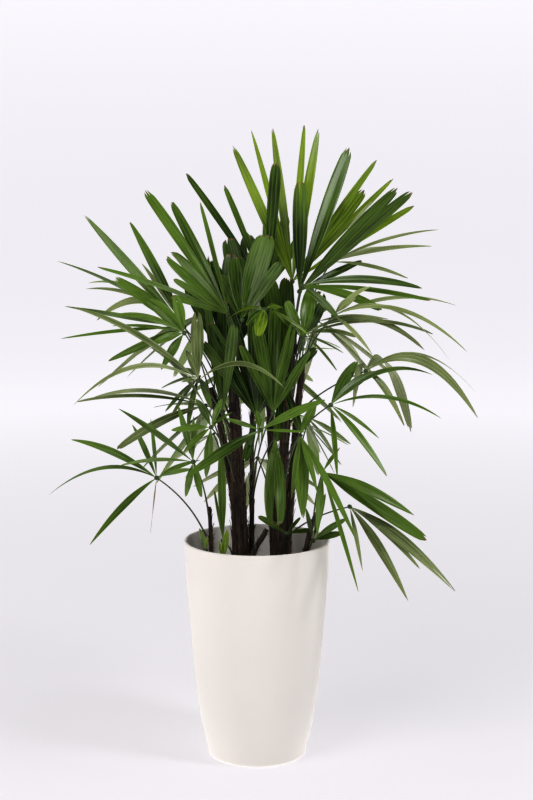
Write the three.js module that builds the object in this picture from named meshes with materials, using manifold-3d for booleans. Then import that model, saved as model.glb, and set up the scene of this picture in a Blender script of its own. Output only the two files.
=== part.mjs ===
// Lady palm (Rhapis) growing in a tall, tapered white planter.
// Millimetres, +Z up. The origin is the middle of the planter's flat underside and -Y is the front.
import * as THREE from "three";
import { mergeVertices } from "three/addons/utils/BufferGeometryUtils.js";
import Module from "manifold-3d";

const wasm = await Module();
wasm.setup();

// ---------- Driving dimensions ----------

const POT_HEIGHT = 560;
const POT_WALL = 6;
const POT_FLOOR = 8;
const POT_SIDES = 36;
// Radius of the outer wall at each height, from the rounded foot to the rim.
const POT_WALL_LINE = [
  { z: 12, radius: 126 },
  { z: 80, radius: 142 },
  { z: 175, radius: 156 },
  { z: 320, radius: 169 },
  { z: 454, radius: 180 },
  { z: 560, radius: 185 },
];
const WALL_POINTS = 7;
const FOOT_RADIUS = 116;
const FOOT_CORNER = { radius: 123, z: 4 };
const RIM_ROUND = 2;
// The inner wall runs between these two heights, and rounds into the floor and the rim past them.
const INNER_WALL_FROM = 38;
const INNER_WALL_TO = 550;

const SOIL_LEVEL = 455;
const SOIL_EDGE = 5;
const SOIL_FOOT_RADIUS = 114;
const SOIL_TOP_RADIUS = 172;
const GAP = 0.5;

const CANE_SIDES = 8;
const CANE_STEPS = 6;
// The bend of a cane: its share of the way from foot to top, and its share of the height.
const CANE_BOW = { across: 0.4, height: 0.6 };

const PETIOLE_RADIUS = 2.4;
const PETIOLE_SIDES = 3;
const PETIOLE_STEPS = 4;
const PETIOLE_BOW = { across: 0.3, height: 0.62 };

// The leaflets spring from a small woody disc at the end of the petiole.
const HUB_RADIUS = 13;
const HUB_THICKNESS = 7;
const HUB_SIDES = 6;

const LEAFLET_ROOT = 6;
const LEAFLET_STEPS = 3;
// A leaflet's thickness, and the share of its length that it has at least.
const LEAFLET_THICKNESS = { least: 4.4, share: 0.0102 };
// Breadth of a leaflet along its length, from its root to its blunt tip, as a share of its full width.
const LEAFLET_OUTLINE = [0.08, 0.74, 1, 0.42];
// How leaflets of one fan differ: in angle (degrees), in width (shares), in the curl of their length
// (share of it), in their turn about it (radians) and in how far they lift off the blade (degrees).
const ANGLE_SPREAD = 6;
const OUTER_NARROWER = 0.22;
const LEAST_WIDTH = 0.88;
const WIDTH_SPREAD = 0.24;
const CURL_SPREAD = 0.16;
const CURL_MIDDLE = 0.45;
const TWIST_SPREAD = 1.1;
const LIFT_SPREAD = 44;
const FIRST_SEED = 101;

// How far a petiole (mm) or a leaflet (degrees) may swing aside to clear what stands in its way.
const PETIOLE_SWINGS = [0, 14, -14, 28, -28, 44, -44];
const LEAFLET_SWINGS = [0, 5, -5, 10, -10, 15, -15, 20, -20];
const CLEARANCE = 1.2;

const FINISHES = {
  planter: { color: 0xece8e2, roughness: 0.35 },
  soil: { color: 0x2b211b, roughness: 0.95 },
  cane: { color: 0x3a2a20, roughness: 0.85 },
  dark: { color: 0x1f4a16, roughness: 0.5 },
  olive: { color: 0x4c5f2a, roughness: 0.5 },
  light: { color: 0x5f9426, roughness: 0.5 },
};

// Each cane: where its flat foot stands on the soil, where it ends, and its radius at both.
const CANES = [
  { name: "cane_main", foot: [-40, -20], top: [-62, -18, 1010], radii: [23, 11] },
  { name: "cane_slim", foot: [-14, 22], top: [-12, 34, 930], radii: [6.5, 4.5] },
  { name: "cane_right", foot: [50, 0], top: [92, 6, 1090], radii: [17, 8] },
  { name: "cane_left", foot: [-112, -52], top: [-119, -56, 655], radii: [6, 4.2] },
  { name: "cane_stub", foot: [-40, -76], top: [25, -66, 600], radii: [6.5, 6] },
  { name: "cane_front", foot: [106, -56], top: [148, -62, 640], radii: [7, 5] },
  { name: "cane_back_left", foot: [-36, 84], top: [-118, 140, 930], radii: [11, 7] },
  { name: "cane_back_right", foot: [74, 92], top: [118, 150, 990], radii: [11, 7] },
  { name: "cane_back", foot: [46, 118], top: [20, 176, 1130], radii: [12, 7] },
];

// Each frond: the cane and height that its petiole leaves, the hub where its leaflets meet, the way
// its blade faces (degrees round from the front, then raised to the sky) and how far its leaflets sag
// (a share of their length). A leaflet is its angle on the face of the blade (degrees), its length, its
// width and, where it differs, its own sag. Other fronds give the fan from the first leaflet to the
// last, each leaflet's length and one width.
const FRONDS = [
  {
    name: "frond_top_front", cane: "cane_right", at: 1050, hub: [105, -60, 1195], face: [5, 8], sag: 0.06,
    leaflets: [[91, 295, 38], [70, 440, 38], [49, 360, 32], [44, 385, 28], [29, 200, 20]],
  },
  {
    name: "frond_top_back", cane: "cane_back_right", at: 940, hub: [90, 130, 1205], face: [-5, 6],
    sag: 0.04, tone: "light",
    leaflets: [
      [113, 395, 26], [104, 420, 16], [98, 420, 24], [86, 415, 20], [82, 425, 28], [56, 400, 20],
      [55, 335, 36], [47, 375, 18], [35, 395, 20],
    ],
  },
  {
    name: "frond_right_high", cane: "cane_right", at: 1020, hub: [185, -20, 1265], face: [10, 20], sag: 0.2,
    tone: "olive",
    leaflets: [[60, 250, 12], [26, 310, 9], [15, 260, 13], [26, 200, 12], [-1, 195, 10]],
  },
  {
    name: "frond_right_arch", cane: "cane_right", at: 930, hub: [110, -130, 1215], face: [0, 25], sag: 0.2,
    leaflets: [[21, 350, 22], [2, 315, 13, 0.12], [-4, 195, 22], [-41, 120, 19]],
  },
  {
    name: "frond_right_shoulder", cane: "cane_right", at: 890, hub: [185, -160, 1145], face: [5, 35],
    sag: 0.3, tone: "olive",
    leaflets: [
      [48, 150, 12], [35, 440, 13], [16, 350, 11, 0.66], [29, 340, 11, 0.82], [48, 90, 19],
      [-46, 125, 11],
    ],
  },
  {
    name: "frond_left_top", cane: "cane_main", at: 900, hub: [-70, -80, 1140], face: [-5, 10], sag: 0.06,
    leaflets: [
      [155, 370, 13, 0.1], [145, 165, 20], [133, 225, 44], [123, 405, 27], [117, 360, 27],
      [102, 300, 12], [160, 150, 17],
    ],
  },
  {
    name: "frond_middle_top", cane: "cane_back", at: 1000, hub: [25, 60, 1185], face: [0, 8], sag: 0.05,
    leaflets: [[122, 420, 20], [111, 300, 16], [86, 350, 30], [77, 280, 30]],
  },
  {
    name: "frond_left_wide", cane: "cane_main", at: 860, hub: [-180, -40, 1105], face: [-10, 20], sag: 0.1,
    leaflets: [
      [117, 330, 25], [134, 415, 25, 0], [145, 420, 9, 0.18], [145, 215, 32, 0.04], [172, 310, 13, 0],
      [187, 300, 9], [199, 220, 20, 0.04],
    ],
  },
  {
    name: "frond_left_rear", cane: "cane_back_left", at: 860, hub: [-200, 90, 1115], face: [-20, 15],
    sag: 0.32, tone: "olive",
    leaflets: [[127, 210, 15, 0.12], [144, 430, 10], [148, 295, 10], [144, 320, 20, 0.62], [228, 275, 12, 0]],
  },
  {
    name: "frond_left_fore", cane: "cane_main", at: 780, hub: [-140, -180, 990], face: [-10, 20],
    sag: 0.26, tone: "olive",
    leaflets: [
      [112, 135, 17], [140, 410, 15], [150, 380, 13, 0.68], [166, 50, 10], [98, 215, 34, 0.1],
      [36, 295, 12, 0.68],
    ],
  },
  {
    name: "frond_left_middle", cane: "cane_back_left", at: 690, hub: [-130, 20, 900], face: [-10, 30],
    sag: 0.3, tone: "olive",
    leaflets: [[125, 280, 13], [158, 335, 12, 0.38], [173, 340, 10, 0.22], [200, 225, 23], [248, 80, 15]],
  },
  {
    name: "frond_left_inner", cane: "cane_left", at: 640, hub: [-155, -140, 785], face: [0, 15], sag: 0.1,
    leaflets: [
      [90, 125, 12], [104, 165, 17], [140, 240, 15], [171, 185, 10, 0.2], [257, 80, 17], [284, 85, 17],
    ],
  },
  {
    name: "frond_left_low", cane: "cane_left", at: 560, hub: [-250, -60, 730], face: [-15, 30], sag: 0.15,
    leaflets: [
      [214, 220, 20, 0.22], [154, 420, 13, 0.48], [151, 275, 18, 0.22], [121, 260, 15], [99, 170, 10],
      [47, 135, 17], [24, 105, 12],
    ],
  },
  {
    name: "frond_young_star", cane: "cane_slim", at: 700, hub: [10, -210, 875], face: [0, 40], sag: 0.07,
    leaflets: [[220, 240, 29], [166, 90, 13], [100, 62, 16], [27, 180, 25], [2, 115, 9]],
  },
  {
    name: "frond_hanging", cane: "cane_slim", at: 640, hub: [45, -170, 850], face: [10, 20], sag: 0.02,
    leaflets: [[256, 125, 16], [265, 215, 60]],
  },
  {
    name: "frond_right_middle", cane: "cane_right", at: 740, hub: [180, -140, 925], face: [5, 30], sag: 0.2,
    leaflets: [
      [48, 190, 22], [46, 405, 13, 0.48], [21, 305, 10, 0.46], [-21, 135, 11], [-46, 185, 19, 0.3],
      [64, 200, 29, 0.14], [-88, 165, 13],
    ],
  },
  {
    name: "frond_right_wide", cane: "cane_right", at: 830, hub: [270, -40, 995], face: [20, 25], sag: 0.72,
    tone: "olive",
    leaflets: [
      [30, 370, 26, 0.92], [33, 520, 9, 0.58], [49, 360, 38, 1.06], [110, 95, 28, 1.9], [-34, 105, 22, 0.9],
    ],
  },
  {
    name: "frond_front_middle", cane: "cane_right", at: 650, hub: [105, -200, 860], face: [0, 50],
    sag: 0.14,
    leaflets: [[271, 225, 36], [282, 185, 17], [72, 135, 22], [295, 305, 17], [264, 250, 14]],
  },
  {
    name: "frond_right_lower", cane: "cane_front", at: 600, hub: [160, -170, 765], face: [12, 40], sag: 0.08,
    leaflets: [
      [55, 110, 10], [-24, 235, 27, 0.14], [-27, 315, 37, 0.04], [-78, 285, 11], [-102, 155, 19],
      [-33, 185, 15],
    ],
  },
  {
    name: "frond_right_low", cane: "cane_right", at: 545, hub: [230, -100, 665], face: [18, 35], sag: 0.24,
    tone: "olive",
    leaflets: [[-46, 305, 36], [-56, 230, 27], [-38, 205, 16], [-97, 180, 12, 0.12]],
  },
  {
    name: "frond_rim_middle", cane: "cane_right", at: 500, hub: [75, -70, 590], face: [0, 10], sag: 0.1,
    leaflets: [[144, 90, 17], [53, 60, 10], [13, 70, 12]],
  },
  {
    name: "frond_rim_right", cane: "cane_front", at: 500, hub: [140, -80, 575], face: [0, 10], sag: 0.1,
    leaflets: [[101, 90, 12], [77, 140, 15], [38, 105, 17], [19, 80, 18]],
  },
  {
    name: "frond_rim_left", cane: "cane_left", at: 480, hub: [-128, -84, 550], face: [0, 10], sag: 0.02,
    tone: "light", leaflets: [[106, 62, 12], [82, 40, 7]],
  },
  {
    name: "frond_rim_strap", cane: "cane_main", at: 505, hub: [-84, -84, 575], face: [0, 5], sag: 0.02,
    leaflets: [[91, 240, 21], [100, 130, 8]],
  },
  {
    name: "frond_rim_front", cane: "cane_main", at: 480, hub: [-84, -118, 534], face: [0, 5], sag: 0.02,
    tone: "light", leaflets: [[82, 76, 17], [103, 50, 8]],
  },
  {
    name: "frond_centre_bent", cane: "cane_slim", at: 905, hub: [20, -200, 1165], face: [0, 50],
    sag: 0.36, tone: "light",
    leaflets: [[145, 115, 19], [258, 75, 31], [26, 50, 24], [-1, 120, 10], [223, 60, 21]],
  },
  {
    name: "frond_upright_left", cane: "cane_main", at: 760, hub: [-85, -50, 895], face: [-20, 5], sag: 0.04,
    leaflets: [[104, 300, 30], [99, 295, 32], [95, 290, 32], [75, 255, 30], [112, 175, 30]],
  },
  {
    name: "frond_upright_middle", cane: "cane_slim", at: 740, hub: [0, -70, 885], face: [8, 5], sag: 0.04,
    leaflets: [
      [115, 275, 30], [102, 310, 32], [94, 305, 35], [84, 295, 35], [68, 270, 22], [52, 220, 22],
      [250, 115, 24], [124, 240, 26],
    ],
  },
  {
    name: "frond_upright_right", cane: "cane_right", at: 860, hub: [115, -40, 1085], face: [20, 15],
    sag: 0.3, tone: "olive",
    leaflets: [[27, 495, 17, 0.5], [19, 500, 11, 0.28], [17, 175, 12], [52, 175, 15]],
  },
  {
    name: "frond_upright_front", cane: "cane_slim", at: 670, hub: [40, -140, 905], face: [0, 10], sag: 0.06,
    leaflets: [[61, 190, 24], [78, 255, 29], [89, 280, 32], [100, 245, 32], [114, 195, 22]],
  },
  {
    name: "frond_side_left", cane: "cane_main", at: 720, hub: [-150, 120, 960], face: [280, 55],
    fan: [185, 355], lengths: [150, 150, 130, 120, 125, 150, 150], width: 26, sag: 0.16,
  },
  {
    name: "frond_side_left_low", cane: "cane_back_left", at: 600, hub: [-115, 190, 800], face: [250, 50],
    fan: [180, 350], lengths: [140, 140, 130, 120, 125, 130], width: 26, sag: 0.16, tone: "olive",
  },
  {
    name: "frond_side_right", cane: "cane_back_right", at: 890, hub: [125, 230, 1055], face: [80, 60],
    fan: [185, 355], lengths: [160, 140, 120, 110, 130, 155], width: 26, sag: 0.16,
  },
  {
    name: "frond_side_right_low", cane: "cane_back_right", at: 620, hub: [130, 160, 830], face: [100, 50],
    fan: [185, 355], lengths: [160, 150, 130, 125, 150, 165], width: 28, sag: 0.18,
  },
  {
    name: "frond_back_top", cane: "cane_back", at: 1080, hub: [40, 220, 1190], face: [10, 40],
    fan: [120, 60], lengths: [190, 220, 240, 230, 200], width: 32, sag: 0.08,
  },
  {
    name: "frond_back_left_top", cane: "cane_back_left", at: 890, hub: [-120, 250, 1120],
    face: [203, 60], fan: [175, 365], lengths: [210, 260, 300, 310, 300, 260, 210],
    width: 28, sag: 0.16,
  },
  {
    name: "frond_back_right_top", cane: "cane_back_right", at: 950, hub: [160, 260, 1090],
    face: [152, 60], fan: [175, 365], lengths: [210, 260, 300, 310, 300, 260, 210],
    width: 28, sag: 0.16, tone: "olive",
  },
  {
    name: "frond_back_middle", cane: "cane_back", at: 840, hub: [15, 320, 985],
    face: [180, 55], fan: [172, 368], lengths: [210, 250, 270, 280, 270, 250, 210],
    width: 30, sag: 0.2,
  },
  {
    name: "frond_back_left_low", cane: "cane_back_left", at: 720, hub: [-120, 255, 860],
    face: [222, 52], fan: [180, 360], lengths: [190, 230, 250, 250, 230, 190], width: 28, sag: 0.18,
  },
  {
    name: "frond_back_right_low", cane: "cane_back_right", at: 700, hub: [130, 260, 835],
    face: [138, 52], fan: [180, 360], lengths: [130, 130, 150, 210, 230, 190], width: 28, sag: 0.18,
  },
  {
    name: "frond_back_low", cane: "cane_back", at: 600, hub: [0, 250, 725],
    face: [178, 45], fan: [190, 350], lengths: [180, 210, 230, 230, 210, 180], width: 28, sag: 0.2,
    tone: "olive",
  },
  {
    name: "frond_front_left", cane: "cane_main", at: 690, hub: [-110, -170, 875], face: [-15, 40],
    sag: 0.16,
    leaflets: [[119, 190, 19], [188, 95, 17], [232, 85, 19], [75, 85, 19], [57, 75, 12], [275, 120, 22]],
  },
  {
    name: "frond_front_high", cane: "cane_main", at: 930, hub: [-35, -150, 1135], face: [-8, 15],
    sag: 0.06,
    leaflets: [[78, 235, 62], [99, 185, 48], [117, 175, 34], [58, 175, 31]],
  },
  {
    name: "frond_front_outer_left", cane: "cane_main", at: 820, hub: [-175, -130, 1100], face: [-20, 15],
    sag: 0.16,
    leaflets: [
      [154, 220, 15, 0.26], [137, 155, 34], [104, 110, 29], [168, 200, 8], [196, 85, 24], [236, 95, 26],
    ],
  },
  {
    name: "frond_front_outer_right", cane: "cane_right", at: 780, hub: [110, -150, 1090], face: [25, 10],
    sag: 0.06,
    leaflets: [[53, 160, 50], [71, 145, 36], [106, 105, 29], [126, 95, 10]],
  },
  {
    name: "frond_inner_left", cane: "cane_main", at: 850, hub: [-75, 20, 1010], face: [-12, 4], sag: 0.04,
    leaflets: [[115, 230, 35], [101, 285, 40], [90, 285, 45], [77, 275, 45], [68, 220, 40]],
  },
  {
    name: "frond_inner_middle", cane: "cane_slim", at: 905, hub: [-20, 70, 1080], face: [8, 6], sag: 0.04,
    leaflets: [[118, 215, 41], [101, 255, 46], [88, 270, 46], [73, 230, 46]],
  },
  {
    name: "frond_inner_right", cane: "cane_right", at: 780, hub: [65, -50, 975], face: [18, 2], sag: 0.04,
    leaflets: [
      [102, 230, 40], [93, 265, 42], [84, 265, 40], [64, 215, 35], [42, 120, 25], [262, 150, 24],
      [284, 130, 22],
    ],
  },
];

// ---------- Making solids ----------

const SAME_POINT = 1e-3;

// Joins the vertices of a closed geometry, so that only its shape is left, and gives its solid.
function solidOf(geometry) {
  geometry.deleteAttribute("normal");
  geometry.deleteAttribute("uv");
  const joined = mergeVertices(geometry, SAME_POINT);
  return new wasm.Manifold(
    new wasm.Mesh({
      numProp: 3,
      vertProperties: joined.attributes.position.array,
      triVerts: new Uint32Array(joined.index.array),
    }),
  );
}

// A solid as the mesh of one named piece, with its own plain material.
function meshOf(name, solid, finish) {
  const made = solid.getMesh();
  const geometry = new THREE.BufferGeometry();
  geometry.setAttribute("position", new THREE.BufferAttribute(made.vertProperties, 3));
  geometry.setIndex(new THREE.BufferAttribute(made.triVerts, 1));
  geometry.computeVertexNormals();
  const mesh = new THREE.Mesh(geometry, new THREE.MeshStandardMaterial(finish));
  mesh.name = name;
  return mesh;
}

// A solid with its box, which is looked at first when two pieces are set against each other.
function placed(geometry, owner) {
  const solid = solidOf(geometry);
  geometry.computeBoundingBox();
  return { owner, solid, box: geometry.boundingBox };
}

function touches(piece, others) {
  return others.some(
    (other) =>
      other.owner !== piece.owner &&
      other.box.intersectsBox(piece.box) &&
      other.solid.intersect(piece.solid).volume() > 0,
  );
}

// Bends an upright cylinder geometry along a path: `frameAt` gives, for a share of the height, the
// middle of the section, the two axes that it lies on, and how far it is scaled along them.
function bend(geometry, frameAt) {
  const position = geometry.attributes.position;
  const point = new THREE.Vector3();
  for (let i = 0; i < position.count; i += 1) {
    const frame = frameAt(position.getY(i) + 0.5);
    point
      .copy(frame.middle)
      .addScaledVector(frame.side, position.getX(i) * frame.breadth)
      .addScaledVector(frame.face, position.getZ(i) * frame.depth);
    position.setXYZ(i, point.x, point.y, point.z);
  }
  return geometry;
}

// ---------- Planter and soil ----------

const OUTER_WALL = new THREE.SplineCurve(
  POT_WALL_LINE.map(({ z, radius }) => new THREE.Vector2(radius, z)),
);

// A profile of [radius, height] points turned about the planter's axis.
function turned(profile, owner) {
  const geometry = new THREE.LatheGeometry(profile, POT_SIDES);
  return placed(geometry.rotateX(Math.PI / 2), owner);
}

// Points of the wall between two heights, moved inwards.
function innerWall(from, to, inset) {
  return OUTER_WALL.getSpacedPoints(WALL_POINTS)
    .filter((p) => p.y > from && p.y < to)
    .map((p) => new THREE.Vector2(p.x - inset, p.y));
}

function makePlanter() {
  const rim = POT_WALL_LINE.at(-1).radius;
  const outside = OUTER_WALL.getSpacedPoints(WALL_POINTS).slice(0, -1);
  const inside = innerWall(INNER_WALL_FROM, INNER_WALL_TO, POT_WALL).reverse();
  const profile = [
    new THREE.Vector2(0, 0),
    new THREE.Vector2(FOOT_RADIUS, 0),
    new THREE.Vector2(FOOT_CORNER.radius, FOOT_CORNER.z),
    ...outside,
    new THREE.Vector2(rim, POT_HEIGHT - RIM_ROUND),
    new THREE.Vector2(rim - RIM_ROUND, POT_HEIGHT),
    new THREE.Vector2(rim - POT_WALL + RIM_ROUND, POT_HEIGHT),
    new THREE.Vector2(rim - POT_WALL, POT_HEIGHT - RIM_ROUND),
    ...inside,
    new THREE.Vector2(FOOT_RADIUS, POT_FLOOR),
    new THREE.Vector2(0, POT_FLOOR),
  ];
  return turned(profile, "planter");
}

// Potting mix from the planter's floor to its level surface.
function makeSoil() {
  const wall = innerWall(INNER_WALL_FROM, SOIL_LEVEL - SOIL_EDGE, POT_WALL + GAP);
  const profile = [
    new THREE.Vector2(0, POT_FLOOR + GAP),
    new THREE.Vector2(SOIL_FOOT_RADIUS, POT_FLOOR + GAP),
    ...wall,
    new THREE.Vector2(SOIL_TOP_RADIUS, SOIL_LEVEL),
    new THREE.Vector2(0, SOIL_LEVEL),
  ];
  return turned(profile, "soil");
}

// ---------- Canes ----------

// A cane rises straight from its foot and then leans to its top in one long curve.
function caneLine(cane) {
  const [footX, footY] = cane.foot;
  const [topX, topY, topZ] = cane.top;
  const foot = new THREE.Vector3(footX, footY, SOIL_LEVEL + GAP);
  const top = new THREE.Vector3(topX, topY, topZ);
  const bow = foot.clone().lerp(top, CANE_BOW.across);
  bow.z = foot.z + CANE_BOW.height * (top.z - foot.z);
  return new THREE.QuadraticBezierCurve3(foot, bow, top);
}

function makeCane(cane) {
  const line = caneLine(cane);
  const [low, high] = cane.radii;
  const across = new THREE.Vector3(1, 0, 0);
  const back = new THREE.Vector3(0, -1, 0);
  const geometry = new THREE.CylinderGeometry(1, 1, 1, CANE_SIDES, CANE_STEPS);
  bend(geometry, (share) => {
    const radius = low + (high - low) * share;
    return { middle: line.getPoint(share), side: across, face: back, breadth: radius, depth: radius };
  });
  return placed(geometry, cane.name);
}

// ---------- Fronds ----------

// The same chain of numbers between 0 and 1 for the same seed.
const CHAIN = { factor: 1664525, step: 1013904223, span: 2 ** 32 };

function seeded(seed) {
  let state = seed;
  return () => {
    state = (state * CHAIN.factor + CHAIN.step) % CHAIN.span;
    return state / CHAIN.span;
  };
}

// The axes of a blade: across it, up it, and out of its face.
function bladeAxes([round, raised]) {
  const f = THREE.MathUtils.degToRad(round);
  const r = THREE.MathUtils.degToRad(raised);
  return {
    across: new THREE.Vector3(Math.cos(f), Math.sin(f), 0),
    up: new THREE.Vector3(-Math.sin(f) * Math.sin(r), Math.cos(f) * Math.sin(r), Math.cos(r)),
    out: new THREE.Vector3(Math.sin(f) * Math.cos(r), -Math.cos(f) * Math.cos(r), Math.sin(r)),
  };
}

// A petiole stands clear of its cane's skin, climbs beside it and then arches over to its hub.
function petioleLine(frond, swing) {
  const cane = CANES.find(({ name }) => name === frond.cane);
  const line = caneLine(cane);
  const share = (frond.at - SOIL_LEVEL) / (cane.top[2] - SOIL_LEVEL);
  const axis = line.getPoint(share);
  const hub = new THREE.Vector3(...frond.hub);
  const outward = new THREE.Vector3(hub.x - axis.x, hub.y - axis.y, 0).normalize();
  const skin = cane.radii[0] + (cane.radii[1] - cane.radii[0]) * share;
  const start = axis.clone().addScaledVector(outward, skin + PETIOLE_RADIUS + CLEARANCE);
  const sideways = new THREE.Vector3(-outward.y, outward.x, 0);
  const bow = start.clone().lerp(hub, PETIOLE_BOW.across).addScaledVector(sideways, swing);
  bow.z = start.z + PETIOLE_BOW.height * (hub.z - start.z);
  return new THREE.QuadraticBezierCurve3(start, bow, hub);
}

function petioleGeometry(frond, swing, extra) {
  const section = new THREE.Shape();
  section.absarc(0, 0, PETIOLE_RADIUS + extra, 0, 2 * Math.PI, false);
  const outline = new THREE.Shape(section.getSpacedPoints(PETIOLE_SIDES).slice(0, -1));
  return new THREE.ExtrudeGeometry(outline, {
    steps: PETIOLE_STEPS,
    extrudePath: petioleLine(frond, swing),
    bevelEnabled: false,
  });
}

// The disc at the hub, lying in the blade.
function hubGeometry(frond, extra) {
  const { across, up, out } = bladeAxes(frond.face);
  const middle = new THREE.Vector3(...frond.hub);
  const radius = HUB_RADIUS + extra;
  const geometry = new THREE.CylinderGeometry(1, 1, 1, HUB_SIDES, 1);
  return bend(geometry, (share) => ({
    middle: middle.clone().addScaledVector(out, (0.5 - share) * (HUB_THICKNESS + extra)),
    side: across,
    face: up,
    breadth: radius,
    depth: radius,
  }));
}

// Breadth and depth of the triangle in a circle of radius 1, which is a leaflet's section.
const TRIANGLE = { breadth: Math.sqrt(3), depth: 1.5 };

// One leaflet: a strap with a keel below, bent down by its weight and turned a little on its length.
function leafletGeometry(frond, leaflet, swing, extra) {
  const { across, up, out } = bladeAxes(frond.face);
  const angle = THREE.MathUtils.degToRad(leaflet.angle);
  const lift = THREE.MathUtils.degToRad(leaflet.lift + swing);
  const way = across
    .clone()
    .multiplyScalar(Math.cos(angle) * Math.cos(lift))
    .addScaledVector(up, Math.sin(angle) * Math.cos(lift))
    .addScaledVector(out, Math.sin(lift));
  const flat = across.clone().multiplyScalar(-Math.sin(angle)).addScaledVector(up, Math.cos(angle));
  const hub = new THREE.Vector3(...frond.hub);
  const down = new THREE.Vector3(0, 0, -1);
  const thickness = Math.max(LEAFLET_THICKNESS.least, LEAFLET_THICKNESS.share * leaflet.length);
  const geometry = new THREE.CylinderGeometry(1, 1, 1, 3, LEAFLET_STEPS);
  return bend(geometry, (share) => {
    const run = LEAFLET_ROOT + share * (leaflet.length - LEAFLET_ROOT);
    const drop = leaflet.sag * leaflet.length * share * share;
    const curl = leaflet.curl * leaflet.length * share * share;
    const middle = hub
      .clone()
      .addScaledVector(way, run)
      .addScaledVector(down, drop)
      .addScaledVector(out, curl);
    const along = way
      .clone()
      .addScaledVector(down, 2 * leaflet.sag * share)
      .addScaledVector(out, 2 * leaflet.curl * share)
      .normalize();
    const turn = leaflet.twist * share;
    const side = flat
      .clone()
      .multiplyScalar(Math.cos(turn))
      .addScaledVector(out, Math.sin(turn))
      .addScaledVector(along, -flat.dot(along))
      .normalize();
    const face = side.clone().cross(along);
    const outline = LEAFLET_OUTLINE[Math.round(share * LEAFLET_STEPS)];
    const width = leaflet.width * outline + extra;
    return {
      middle,
      side,
      face,
      breadth: width / TRIANGLE.breadth,
      depth: (thickness + extra) / TRIANGLE.depth,
    };
  });
}

// The sizes of leaflets that spread evenly over a fan, each a little off its place and its width.
function evenFan({ fan: [first, last], lengths, width }, random) {
  return lengths.map((length, i) => {
    const place = i / (lengths.length - 1);
    const outer = Math.abs(2 * place - 1);
    const angle = first + (last - first) * place + (random() - 0.5) * ANGLE_SPREAD;
    const breadth = width * (1 - OUTER_NARROWER * outer) * (LEAST_WIDTH + WIDTH_SPREAD * random());
    return [angle, length, breadth];
  });
}

// The leaflets of a frond, by their own sizes or spread over a fan, with small seeded differences.
function leafletsOf(frond, seed) {
  const random = seeded(seed);
  const sizes = frond.leaflets ?? evenFan(frond, random);
  return sizes.map(([angle, length, width, sag = frond.sag]) => ({
    angle,
    length,
    width,
    sag,
    curl: (random() - CURL_MIDDLE) * CURL_SPREAD,
    twist: (random() - 0.5) * TWIST_SPREAD,
    lift: (random() - 0.5) * LIFT_SPREAD,
  }));
}

// The first swing that leaves a piece clear of all that stands round it.
function settle(swings, make, owner, others) {
  return swings.find((swing) => !touches(placed(make(swing, CLEARANCE), owner), others));
}

// Hubs and petioles come first, and then the leaflets find their way past everything that stands.
function makeFronds(standing) {
  const hubs = FRONDS.map((frond) => {
    const free = settle([0], (swing, extra) => hubGeometry(frond, extra), frond.name, standing);
    if (free === undefined) throw new Error(frond.name + ": its hub is not free");
    const hub = placed(hubGeometry(frond, 0), frond.name);
    standing.push(hub);
    return hub;
  });
  const stalks = FRONDS.map((frond, index) => {
    const make = (swing, extra) => petioleGeometry(frond, swing, extra);
    const swing = settle(PETIOLE_SWINGS, make, frond.name, standing);
    if (swing === undefined) throw new Error(frond.name + ": its petiole has no free way");
    const petiole = placed(make(swing, 0), frond.name);
    standing.push(petiole);
    return petiole.solid.add(hubs[index].solid);
  });
  return FRONDS.map((frond, index) => {
    let solid = stalks[index];
    for (const leaflet of leafletsOf(frond, FIRST_SEED + index)) {
      const make = (swing, extra) => leafletGeometry(frond, leaflet, swing, extra);
      const swing = settle(LEAFLET_SWINGS, make, frond.name, standing);
      if (swing === undefined) continue;
      const blade = placed(make(swing, 0), frond.name);
      standing.push(blade);
      solid = solid.add(blade.solid);
    }
    return meshOf(frond.name, solid, FINISHES[frond.tone ?? "dark"]);
  });
}

// ---------- The whole plant ----------

const palm = new THREE.Group();
const planter = makePlanter();
const soil = makeSoil();
const canes = CANES.map(makeCane);

palm.add(meshOf("planter", planter.solid, FINISHES.planter));
palm.add(meshOf("soil", soil.solid, FINISHES.soil));
canes.forEach((cane) => palm.add(meshOf(cane.owner, cane.solid, FINISHES.cane)));
makeFronds([planter, soil, ...canes]).forEach((frond) => palm.add(frond));

export default palm;
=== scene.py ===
"""A lady palm in its tall white planter, finished over its solids. Metres, +Z up, -Y is the front."""
import math

import bpy
import numpy as np
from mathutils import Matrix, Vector


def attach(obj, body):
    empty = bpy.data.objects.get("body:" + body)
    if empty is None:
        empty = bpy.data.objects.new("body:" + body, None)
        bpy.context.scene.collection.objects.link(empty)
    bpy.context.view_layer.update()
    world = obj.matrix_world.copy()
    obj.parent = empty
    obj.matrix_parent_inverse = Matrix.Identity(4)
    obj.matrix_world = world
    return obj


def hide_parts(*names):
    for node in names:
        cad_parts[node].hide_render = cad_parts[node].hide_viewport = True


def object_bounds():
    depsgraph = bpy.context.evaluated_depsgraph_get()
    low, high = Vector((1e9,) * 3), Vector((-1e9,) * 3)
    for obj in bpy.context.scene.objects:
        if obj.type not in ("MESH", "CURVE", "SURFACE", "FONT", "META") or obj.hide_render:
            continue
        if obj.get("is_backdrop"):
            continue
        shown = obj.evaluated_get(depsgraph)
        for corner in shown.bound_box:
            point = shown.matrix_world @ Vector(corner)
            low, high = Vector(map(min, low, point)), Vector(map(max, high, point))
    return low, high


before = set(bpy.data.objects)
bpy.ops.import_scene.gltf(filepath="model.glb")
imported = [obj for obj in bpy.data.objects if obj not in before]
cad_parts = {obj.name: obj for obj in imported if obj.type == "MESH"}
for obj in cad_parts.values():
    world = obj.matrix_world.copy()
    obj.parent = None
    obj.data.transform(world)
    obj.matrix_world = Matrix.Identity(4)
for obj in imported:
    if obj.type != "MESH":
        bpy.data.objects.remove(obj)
solid_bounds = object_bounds()

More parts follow.
